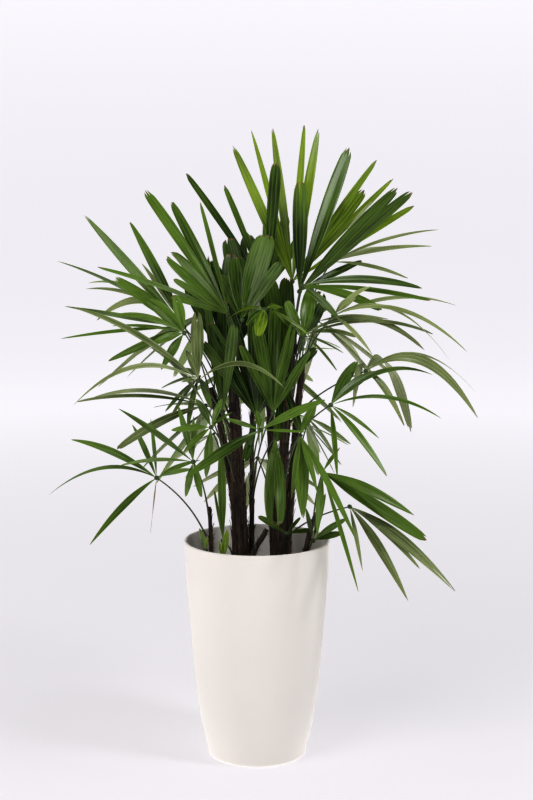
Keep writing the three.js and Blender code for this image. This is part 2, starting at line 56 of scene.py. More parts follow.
# ---------- Camera ----------
# It stands 4.3 m in front of the planter, level with the top of the plant, and is tipped down
# until the planter's foot shows.

CAMERA_PLACE = (0.024, -4.3, 1.537)
CAMERA_TIP = 8.2
CAMERA_LENS = 77.85

camera = bpy.data.objects.new("camera", bpy.data.cameras.new("camera"))
camera.location = CAMERA_PLACE
camera.rotation_euler = (math.radians(90 - CAMERA_TIP), 0, 0)
camera.data.lens = CAMERA_LENS
bpy.context.collection.objects.link(camera)
bpy.context.scene.camera = camera

# ---------- Planter ----------
# A tall tapered planter, moulded in one piece of thick off-white plastic with a satin face. The
# foot and the thin plain rim are rounded, and it stands on its flat base.

WALL_LINE = (  # height, radius of the outer wall
    (0.012, 0.126),
    (0.080, 0.142),
    (0.175, 0.156),
    (0.320, 0.169),
    (0.454, 0.180),
    (0.560, 0.185),
)
WALL_STEPS = 9
WALL_THICKNESS = 0.006
INNER_WALL_FROM = 0.035
BASE_RADIUS = 0.116
BASE_THICKNESS = 0.008
# Out from the base's edge, and the height: the rounded foot, and the inside corner over the base.
FOOT_LINE = ((-0.004, 0), (0, 0), (0.005, 0.0008), (0.0085, 0.005))
INSIDE_CORNER = ((0.002, 0.016), (-0.006, BASE_THICKNESS))
RIM_ROUND = 0.0028
RIM_STEPS = 5
PLANTER_SEGMENTS = 160
SCUFF_SCALE = 26.0
DUST_HEIGHT = 0.09
PLASTIC = ((0.785, 0.751, 0.734, 1), (0.820, 0.787, 0.770, 1))
SCUFFED_PLASTIC = (0.649, 0.614, 0.578, 1)
DUSTY_PLASTIC = (0.732, 0.673, 0.614, 1)


def through(points, steps):
    """Points of a smooth curve that passes through the given ones."""
    knots = np.array(points, float)
    knots = np.vstack([knots[0], knots, knots[-1]])
    found = []
    for a, b, c, d in zip(knots, knots[1:], knots[2:], knots[3:]):
        for t in np.linspace(0, 1, steps, endpoint=False):
            found.append(
                0.5 * (2 * b + (c - a) * t + (2 * a - 5 * b + 4 * c - d) * t**2
                       + (3 * b - a - 3 * c + d) * t**3)
            )
    return np.array(found + [knots[-1]])


def rounded(centre, radius, first, last, steps):
    """Points of an arc from one angle to another, in degrees."""
    return [
        (centre[0] + radius * math.cos(a), centre[1] + radius * math.sin(a))
        for a in np.radians(np.linspace(first, last, steps))
    ]


def turned(name, profile, segments):
    """A closed mesh turned about Z from (radius, height) points that start and end on the axis."""
    round_angles = np.linspace(0, 2 * math.pi, segments, endpoint=False)
    verts = [(0, 0, profile[0][1])]
    for radius, height in profile[1:-1]:
        verts += [(radius * math.cos(a), radius * math.sin(a), height) for a in round_angles]
    verts.append((0, 0, profile[-1][1]))
    rings = len(profile) - 2
    last = len(verts) - 1
    faces = []
    for i in range(segments):
        j = (i + 1) % segments
        faces.append((0, 1 + j, 1 + i))
        for ring in range(rings - 1):
            low = 1 + ring * segments
            faces.append((low + i, low + j, low + segments + j, low + segments + i))
        top = 1 + (rings - 1) * segments
        faces.append((top + i, top + j, last))
    mesh = bpy.data.meshes.new(name)
    mesh.from_pydata(verts, [], faces)
    mesh.shade_smooth()
    return mesh


def add_piece(name, mesh, *materials):
    """A new object at the origin that rides with the plant."""
    piece = bpy.data.objects.new(name, mesh)
    bpy.context.collection.objects.link(piece)
    for material in materials:
        mesh.materials.append(material)
    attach(piece, "root")
    return piece


def add_node(tree, kind, inputs=None, **settings):
    """A node with its settings, whose inputs are numbers or the outputs of other nodes."""
    made = tree.nodes.new(kind)
    for key, value in settings.items():
        setattr(made, key, value)
    for key, value in (inputs or {}).items():
        if isinstance(value, bpy.types.NodeSocket):
            tree.links.new(value, made.inputs[key])
        else:
            made.inputs[key].default_value = value
    return made


def add_sockets(tree, inputs, outputs):
    """The named sockets of a node group: name, kind and, for a number, its value."""
    for name, kind, *value in inputs:
        made = tree.interface.new_socket(name, in_out="INPUT", socket_type=f"NodeSocket{kind}")
        if value:
            made.default_value = value[0]
    for name, kind in outputs:
        tree.interface.new_socket(name, in_out="OUTPUT", socket_type=f"NodeSocket{kind}")
    return tree.nodes.new("NodeGroupInput").outputs, tree.nodes.new("NodeGroupOutput").inputs


def mixed(tree, share, first, second):
    """A colour between two others."""
    made = add_node(tree, "ShaderNodeMix", {"Factor": share, 6: first, 7: second}, data_type="RGBA")
    return made.outputs[2]


def spread(tree, value, low, high, first, last):
    """Maps a value's range from low..high to first..last."""
    made = add_node(
        tree,
        "ShaderNodeMapRange",
        {"Value": value, "From Min": low, "From Max": high, "To Min": first, "To Max": last},
    )
    return made.outputs["Result"]


def noise(tree, place, scale, **sizes):
    """The strength of a cloudy pattern at a place."""
    made = add_node(tree, "ShaderNodeTexNoise", {"Vector": place, "Scale": scale, **sizes})
    return made.outputs["Fac"]


def place_on_piece(tree):
    """Where on the piece a point lies, in metres."""
    return add_node(tree, "ShaderNodeTexCoord").outputs["Object"]


def add_relief(tree, shader, height, strength, depth):
    """Fine relief on the surface, as high as a pattern is strong."""
    bump = add_node(
        tree, "ShaderNodeBump", {"Strength": strength, "Distance": depth, "Height": height}
    )
    tree.links.new(bump.outputs["Normal"], shader.inputs["Normal"])


def new_material(name, **inputs):
    """A material, its tree and its Principled shader with the plain values already set."""
    material = bpy.data.materials.new(name)
    material.use_nodes = True
    shader = material.node_tree.nodes["Principled BSDF"]
    for key, value in inputs.items():
        shader.inputs[key.replace("_", " ")].default_value = value
    return material, material.node_tree, shader


def grime_group():
    """Soft uneven patches and fine specks, as growth, handling and dust leave on any surface."""
    tree = bpy.data.node_groups.new("grime", "ShaderNodeTree")
    given, put = add_sockets(
        tree,
        [("Vector", "Vector"), ("Patch scale", "Float"), ("Grain scale", "Float")],
        [("Patches", "Float"), ("Grain", "Float")],
    )
    patches = noise(tree, given["Vector"], given["Patch scale"], Detail=4.0, Roughness=0.6)
    grain = noise(tree, given["Vector"], given["Grain scale"], Detail=2.0)
    tree.links.new(patches, put["Patches"])
    tree.links.new(grain, put["Grain"])
    return tree


grime = grime_group()


def grimed(tree, place, patches=9.0, grain=900.0):
    """The Patches and the Grain of grime in a material, each at its own scale."""
    inputs = {"Vector": place, "Patch scale": patches, "Grain scale": grain}
    return add_node(tree, "ShaderNodeGroup", inputs, node_tree=grime).outputs


def planter_plastic():
    """Satin plastic with faint scuffs all over and a little dust low down."""
    material, tree, shader = new_material("planter_plastic", IOR=1.47, Specular_IOR_Level=0.3)
    place = place_on_piece(tree)
    dirt = grimed(tree, place)
    height = add_node(tree, "ShaderNodeSeparateXYZ", {"Vector": place}).outputs["Z"]
    scuffs = noise(tree, place, SCUFF_SCALE, Detail=8.0, Roughness=0.75)
    worn = spread(tree, scuffs, 0.66, 0.74, 0.0, 0.10)
    dusty = spread(tree, height, 0.0, DUST_HEIGHT, 0.10, 0.0)
    scuffed = mixed(tree, worn, mixed(tree, dirt["Patches"], *PLASTIC), SCUFFED_PLASTIC)
    tree.links.new(mixed(tree, dusty, scuffed, DUSTY_PLASTIC), shader.inputs["Base Color"])
    tree.links.new(spread(tree, scuffs, 0.3, 0.7, 0.30, 0.42), shader.inputs["Roughness"])
    add_relief(tree, shader, dirt["Grain"], 0.06, 0.0004)
    return material


planter_height, rim_radius = WALL_LINE[-1]
rim_middle = planter_height - RIM_ROUND
outer_wall = [
    (r, z) for z, r in through(WALL_LINE, WALL_STEPS) if z < planter_height - 2 * RIM_ROUND
]
planter_profile = (
    [(0, 0)]
    + [(BASE_RADIUS + out, up) for out, up in FOOT_LINE]
    + outer_wall
    + rounded((rim_radius - RIM_ROUND, rim_middle), RIM_ROUND, 0, 90, RIM_STEPS)
    + rounded((rim_radius - WALL_THICKNESS + RIM_ROUND, rim_middle), RIM_ROUND, 90, 180, RIM_STEPS)
    + [(r - WALL_THICKNESS, z) for r, z in outer_wall[::-1] if z > INNER_WALL_FROM]
    + [(BASE_RADIUS + out, up) for out, up in INSIDE_CORNER]
    + [(0, BASE_THICKNESS)]
)
planter = add_piece(
    "planter_shell",
    turned("planter_shell", planter_profile, PLANTER_SEGMENTS),
    planter_plastic(),
)
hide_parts("planter")

# ---------- Potting mix ----------
# Dark peat with crumbs and chips of bark, which fills the planter to a hand's breadth below its rim.
# The canes stand in it.

MIX_LEVEL = 0.455
MIX_RADIUS = 0.166
MIX_SIDES = 48
CHIPS_PER_SQUARE_METRE = 14000
CHIP_SIZE = 0.0055
CHIP_STRETCH = ((0.25, 0.2, 0.12), (1.5, 0.9, 0.5))  # the least and the most along each axis
CHIP_TURN = (6.3, 6.3, 6.3)
CHIP_BREAKS = 0.006
CHIP_BREAK_SCALE = 260.0
CHIP_SEED = 7
PEAT = ((0.021, 0.0142, 0.0106, 1), (0.059, 0.040, 0.028, 1))
CHIP_BARK = ((0.053, 0.028, 0.0165, 1), (0.189, 0.112, 0.065, 1))


def potting_mix_material(name, dark, pale):
    """Matt crumbs, mottled between a dark and a pale colour."""
    material, tree, shader = new_material(name, Roughness=0.95)
    dirt = grimed(tree, place_on_piece(tree), patches=120.0, grain=1400.0)
    share = spread(tree, dirt["Patches"], 0.35, 0.65, 0.0, 1.0)
    tree.links.new(mixed(tree, share, dark, pale), shader.inputs["Base Color"])
    add_relief(tree, shader, dirt["Grain"], 0.8, 0.002)
    return material


def vector_math(tree, kind, first, second):
    """Two vectors, or with SCALE a vector and a number, put together."""
    key = "Scale" if kind == "SCALE" else 1
    made = add_node(tree, "ShaderNodeVectorMath", {0: first, key: second}, operation=kind)
    return made.outputs["Vector"]


def random_vector(tree, least, most, seed, **more):
    """A vector dealt between two others for each element."""
    inputs = {"Min": least, "Max": most, "Seed": seed, **more}
    made = add_node(tree, "FunctionNodeRandomValue", inputs, data_type="FLOAT_VECTOR")
    return made.outputs["Value"]


def placed(tree, geometry, **where):
    """Geometry whose points go to a Position or move by an Offset."""
    made = add_node(tree, "GeometryNodeSetPosition", {"Geometry": geometry, **where})
    return made.outputs["Geometry"]


def dressed(tree, geometry, material):
    """Geometry in its material."""
    made = add_node(tree, "GeometryNodeSetMaterial", {"Geometry": geometry, "Material": material})
    return made.outputs["Geometry"]


def chips_tree(material):
    """Geometry Nodes: irregular crumbs strewn over a disc."""
    tree = bpy.data.node_groups.new("bark_chips", "GeometryNodeTree")
    given, put = add_sockets(
        tree,
        [
            ("Radius", "Float", MIX_RADIUS),
            ("Level", "Float", MIX_LEVEL),
            ("Density", "Float", CHIPS_PER_SQUARE_METRE),
            ("Chip size", "Float", CHIP_SIZE),
            ("Seed", "Int", CHIP_SEED),
        ],
        [("Geometry", "Geometry")],
    )
    disc = add_node(
        tree,
        "GeometryNodeMeshCircle",
        {"Vertices": MIX_SIDES, "Radius": given["Radius"]},
        fill_type="NGON",
    ).outputs["Mesh"]
    lift = add_node(tree, "ShaderNodeCombineXYZ", {"Z": given["Level"]}).outputs["Vector"]
    surface = add_node(tree, "GeometryNodeTransform", {"Geometry": disc, "Translation": lift})
    points = add_node(
        tree,
        "GeometryNodeDistributePointsOnFaces",
        {"Mesh": surface.outputs["Geometry"], "Density": given["Density"], "Seed": given["Seed"]},
    )
    crumb = add_node(
        tree, "GeometryNodeMeshIcoSphere", {"Radius": given["Chip size"], "Subdivisions": 1}
    )
    strewn = add_node(
        tree,
        "GeometryNodeInstanceOnPoints",
        {
            "Points": points.outputs["Points"],
            "Instance": crumb.outputs["Mesh"],
            "Rotation": random_vector(tree, (0, 0, 0), CHIP_TURN, given["Seed"]),
            "Scale": random_vector(tree, *CHIP_STRETCH, given["Seed"]),
        },
    )
    real = add_node(tree, "GeometryNodeRealizeInstances", {"Geometry": strewn.outputs["Instances"]})
    rough = add_node(tree, "ShaderNodeTexNoise", {"Scale": CHIP_BREAK_SCALE}).outputs["Color"]
    centred = vector_math(tree, "SUBTRACT", rough, (0.5, 0.5, 0.5))
    push = vector_math(tree, "SCALE", centred, CHIP_BREAKS)
    broken = placed(tree, real.outputs["Geometry"], Offset=push)
    tree.links.new(dressed(tree, broken, material), put["Geometry"])
    return tree


def set_inputs(modifier, **values):
    """Sets a Geometry Nodes modifier's named inputs by their identifiers."""
    for item in modifier.node_group.interface.items_tree:
        if item.in_out == "INPUT" and item.name in values:
            modifier[item.identifier] = values[item.name]


def grown(name, source, tree, **values):
    """The plain mesh that a Geometry Nodes tree makes from an object's data, which then goes."""
    maker = bpy.data.objects.new(name, source)
    bpy.context.collection.objects.link(maker)
    modifier = maker.modifiers.new(name, "NODES")
    modifier.node_group = tree
    set_inputs(modifier, **values)
    looked_at = maker.evaluated_get(bpy.context.evaluated_depsgraph_get())
    mesh = bpy.data.meshes.new_from_object(looked_at)
    mesh.name = name
    bpy.data.objects.remove(maker)
    return mesh


chip_material = potting_mix_material("bark_chip", *CHIP_BARK)
peat_material = potting_mix_material("peat", *PEAT)
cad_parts["soil"].data.materials.clear()
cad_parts["soil"].data.materials.append(peat_material)
chips = add_piece(
    "bark_chips",
    grown("bark_chips", bpy.data.meshes.new("chip_source"), chips_tree(chip_material)),
)

# ---------- Canes ----------
# Slim upright stems, dark and rough: each is wrapped from the soil up in the sheaths of old leaves,
# which overlap like sleeves and fray into coarse reddish-brown fibres.

MM = 0.001
MIX_TOP = round(MIX_LEVEL / MM)
CANE_FOOT = MIX_TOP + 0.5  # the solids stand just clear of each other
CANE_BOW = (0.4, 0.6)
# The foot and top of each centre line, and the radius at both, in mm.
CANES = {
    "cane_main": dict(foot=(-40, -20), top=(-62, -18, 1010), radii=(23, 11)),
    "cane_slim": dict(foot=(-14, 22), top=(-12, 34, 930), radii=(6.5, 4.5)),
    "cane_right": dict(foot=(50, 0), top=(92, 6, 1090), radii=(17, 8)),
    "cane_left": dict(foot=(-112, -52), top=(-119, -56, 655), radii=(6, 4.2)),
    "cane_stub": dict(foot=(-40, -76), top=(25, -66, 600), radii=(6.5, 6)),
    "cane_front": dict(foot=(106, -56), top=(148, -62, 640), radii=(7, 5)),
    "cane_back_left": dict(foot=(-36, 84), top=(-118, 140, 930), radii=(11, 7)),
    "cane_back_right": dict(foot=(74, 92), top=(118, 150, 990), radii=(11, 7)),
    "cane_back": dict(foot=(46, 118), top=(20, 176, 1130), radii=(12, 7)),
}
CANE_CURVE_POINTS = 24
STEM_RINGS = 150
STEM_SIDES = 18
SHEATH_LENGTH = 0.062
SHEATH_FLARE = 0.0022
SHEATH_WANDER = 22.0
RIB_DEPTH = 0.003
RIB_MIDDLE = 0.55
RIB_SCALE = 420.0
RIB_STRETCH = (1.0, 1.0, 0.12)
# A fibre's run is a share of the cane's length, and its slant the most it turns round, in radians.
# Fibres are counted by the area of the skin, with some to spare so that a slim cane isn't bare.
FULL_TURN = 6.283
FIBRE_RADIUS = 0.0006
FIBRE_RUN = 0.1
FIBRE_SLANT = 1.6
FIBRE_LIFT = 0.005
FIBRE_POINTS = 9
FIBRES_PER_SQUARE_METRE = 700
SPARE_LENGTH = 0.3
SPARE_FIBRES = 20
BARK = ((0.0071, 0.0047, 0.0035, 1), (0.088, 0.059, 0.042, 1))
FIBRE = ((0.035, 0.0165, 0.0094, 1), (0.283, 0.153, 0.094, 1))


def bezier(ends, shares):
    """Points of a quadratic curve from its start, bow and end."""
    start, bow, end = ends
    t = np.asarray(shares, float)[:, None]
    return (1 - t) ** 2 * start + 2 * t * (1 - t) * bow + t**2 * end


def cane_ends(cane):
    """Start, bow and end of a cane's centre line, in mm."""
    foot = np.array((*cane["foot"], CANE_FOOT), float)
    top = np.array(cane["top"], float)
    bow = foot + CANE_BOW[0] * (top - foot)
    bow[2] = foot[2] + CANE_BOW[1] * (top[2] - foot[2])
    return foot, bow, top


def path_curve(name, points):
    """Curve data of one open line."""
    data = bpy.data.curves.new(name, "CURVE")
    data.dimensions = "3D"
    line = data.splines.new("POLY")
    line.points.add(len(points) - 1)
    for knot, point in zip(line.points, points):
        knot.co = (*point, 1)
    return data


def number_math(tree, kind, first, second=0.0):
    """One number, or two put together."""
    made = add_node(tree, "ShaderNodeMath", {0: first, 1: second}, operation=kind)
    return made.outputs["Value"]


def plus(tree, first, second):
    """The sum of two numbers."""
    return number_math(tree, "ADD", first, second)


def times(tree, first, second):
    """The product of two numbers."""
    return number_math(tree, "MULTIPLY", first, second)


def resampled(tree, curve, count):
    """A curve with a number of even points."""
    made = add_node(tree, "GeometryNodeResampleCurve", {"Curve": curve, "Count": count})
    return made.outputs["Curve"]


def swept(tree, curve, sides, radius):
    """A closed tube along a curve."""
    ring = add_node(tree, "GeometryNodeCurvePrimitiveCircle", {"Resolution": sides, "Radius": 1.0})
    profile = ring.outputs["Curve"]
    inputs = {"Curve": curve, "Profile Curve": profile, "Scale": radius, "Fill Caps": True}
    return add_node(tree, "GeometryNodeCurveToMesh", inputs).outputs["Mesh"]


def sheathed_stem(tree, given, radius_at, bark):
    """A tube whose skin steps out at the top of each sheath and is ribbed by its fibres."""
    along = add_node(tree, "GeometryNodeSplineParameter").outputs["Factor"]
    tube = swept(tree, resampled(tree, given["Path"], STEM_RINGS), STEM_SIDES, radius_at(along))
    place = add_node(tree, "GeometryNodeInputPosition").outputs["Position"]
    height = add_node(tree, "ShaderNodeSeparateXYZ", {"Vector": place}).outputs["Z"]
    sheaths = number_math(tree, "DIVIDE", height, given["Sheath length"])
    step = number_math(tree, "FRACT", plus(tree, sheaths, noise(tree, place, SHEATH_WANDER)))
    flare = times(tree, number_math(tree, "POWER", step, 3.0), given["Sheath flare"])
    stretched = vector_math(tree, "MULTIPLY", place, RIB_STRETCH)
    ribs = noise(tree, stretched, RIB_SCALE, Detail=3.0)
    ribbing = times(tree, number_math(tree, "SUBTRACT", ribs, RIB_MIDDLE), RIB_DEPTH)
    skin = add_node(tree, "GeometryNodeInputNormal").outputs["Normal"]
    relief = vector_math(tree, "SCALE", skin, plus(tree, flare, ribbing))
    return dressed(tree, placed(tree, tube, Offset=relief), bark)


def loose_fibres(tree, given, radius_at, fibre):
    """Short threads, each laid slantwise round its own stretch of the stem."""
    thread = add_node(tree, "GeometryNodeCurvePrimitiveLine").outputs["Curve"]
    threads = add_node(
        tree,
        "GeometryNodeDuplicateElements",
        {"Geometry": resampled(tree, thread, FIBRE_POINTS), "Amount": given["Fibres"]},
        domain="SPLINE",
    ).outputs
    dealt = random_vector(
        tree,
        (0.0, 0.0, -FIBRE_SLANT),
        (1 - FIBRE_RUN, FULL_TURN, FIBRE_SLANT),
        given["Seed"],
        ID=threads["Duplicate Index"],
    )
    begin, round_from, slant = add_node(tree, "ShaderNodeSeparateXYZ", {"Vector": dealt}).outputs
    run = add_node(tree, "GeometryNodeSplineParameter").outputs["Factor"]
    share = plus(tree, begin, times(tree, run, FIBRE_RUN))
    turn = plus(tree, round_from, times(tree, run, slant))
    spot = add_node(
        tree, "GeometryNodeSampleCurve", {"Curves": given["Path"], "Factor": share}, mode="FACTOR"
    ).outputs
    sideways = vector_math(tree, "CROSS_PRODUCT", spot["Tangent"], spot["Normal"])
    forward = vector_math(tree, "SCALE", spot["Normal"], number_math(tree, "COSINE", turn))
    aside = vector_math(tree, "SCALE", sideways, number_math(tree, "SINE", turn))
    direction = vector_math(tree, "ADD", forward, aside)
    # A thread lies on the skin and lifts off it a little towards its loose upper end.
    lift = times(tree, number_math(tree, "POWER", run, 4.0), FIBRE_LIFT)
    reach = plus(tree, plus(tree, radius_at(share), given["Fibre radius"]), lift)
    out = vector_math(tree, "SCALE", direction, reach)
    laid = placed(tree, threads["Geometry"], Position=vector_math(tree, "ADD", spot["Position"], out))
    return dressed(tree, swept(tree, laid, 3, given["Fibre radius"]), fibre)


def cane_tree(bark, fibre):
    """Geometry Nodes: a tapered stem with stepped sheaths along a curve, and fibres wound round it."""
    tree = bpy.data.node_groups.new("fibrous_cane", "GeometryNodeTree")
    given, put = add_sockets(
        tree,
        [
            ("Path", "Geometry"),
            ("Low radius", "Float"),
            ("Top radius", "Float"),
            ("Sheath length", "Float", SHEATH_LENGTH),
            ("Sheath flare", "Float", SHEATH_FLARE),
            ("Fibres", "Int"),
            ("Fibre radius", "Float", FIBRE_RADIUS),
            ("Seed", "Int"),
        ],
        [("Geometry", "Geometry")],
    )
    taper = number_math(tree, "SUBTRACT", given["Top radius"], given["Low radius"])

    def radius_at(share):
        return plus(tree, times(tree, taper, share), given["Low radius"])

    both = add_node(tree, "GeometryNodeJoinGeometry")
    tree.links.new(loose_fibres(tree, given, radius_at, fibre), both.inputs["Geometry"])
    tree.links.new(sheathed_stem(tree, given, radius_at, bark), both.inputs["Geometry"])
    real = add_node(tree, "GeometryNodeRealizeInstances", {"Geometry": both.outputs["Geometry"]})
    tree.links.new(real.outputs["Geometry"], put["Geometry"])
    return tree


def fibrous_material(name, dark, pale, roughness):
    """Rough plant fibre, streaked along the stem."""
    material, tree, shader = new_material(name, Roughness=roughness)
    lengthways = add_node(
        tree, "ShaderNodeMapping", {"Vector": place_on_piece(tree), "Scale": (1, 1, 0.06)}
    )
    dirt = grimed(tree, lengthways.outputs["Vector"], patches=210.0, grain=1200.0)
    share = spread(tree, dirt["Patches"], 0.38, 0.66, 0.0, 1.0)
    tree.links.new(mixed(tree, share, dark, pale), shader.inputs["Base Color"])
    add_relief(tree, shader, dirt["Grain"], 0.7, 0.0015)
    return material


fibrous_cane = cane_tree(
    fibrous_material("cane_bark", *BARK, 0.8), fibrous_material("cane_fibre", *FIBRE, 0.7)
)
for number, (name, cane) in enumerate(CANES.items()):
    low, top = (radius * MM for radius in cane["radii"])
    line = bezier(cane_ends(cane), np.linspace(0, 1, CANE_CURVE_POINTS)) * MM
    skin_area = 2 * math.pi * low * (line[-1][2] - line[0][2] + SPARE_LENGTH)
    inputs = {
        "Low radius": low,
        "Top radius": top,
        "Fibres": int(FIBRES_PER_SQUARE_METRE * skin_area) + SPARE_FIBRES,
        "Seed": number,
    }
    stem = add_piece(
        f"{name}_bark",
        grown(f"{name}_bark", path_curve(f"{name}_path", line), fibrous_cane, **inputs),
    )
    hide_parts(name)

# ---------- Fronds ----------
# Each frond is a thin stalk with a fan of stiff, pleated, strap-shaped leaflets, which meet at a
# small knot. A leaflet has a few ribs, a narrow root and a blunt tip with short uneven teeth.

FRONDS_FIRST_SEED = 101
STALK_RADIUS = 2.4
STALK_CLEARANCE = 1.2
STALK_BOW = (0.3, 0.62)
STALK_SWINGS = (0, 14, -14, 28, -28, 44, -44)
LEAFLET_SWINGS = (0, 5, -5, 10, -10, 15, -15, 20, -20)
LEAFLET_ROOT = 6
# What the seeded rule deals out: a fan's angles and widths, then each leaflet's curl, twist and lift.
ANGLE_SPREAD = 6
OUTER_NARROWER = 0.22
LEAST_WIDTH = 0.88
WIDTH_SPREAD = 0.24
CURL_SPREAD = 0.16
CURL_MIDDLE = 0.45
TWIST_SPREAD = 1.1
LIFT_SPREAD = 44


def frond_of(name, cane, at, hub, face, sag, tone, leaflets=(), **fan):
    """A frond's sizes by their names."""
    return dict(
        name=f"frond_{name}", cane=f"cane_{cane}", at=at, hub=hub, face=face, sag=sag, tone=tone,
        leaflets=leaflets, **fan,
    )


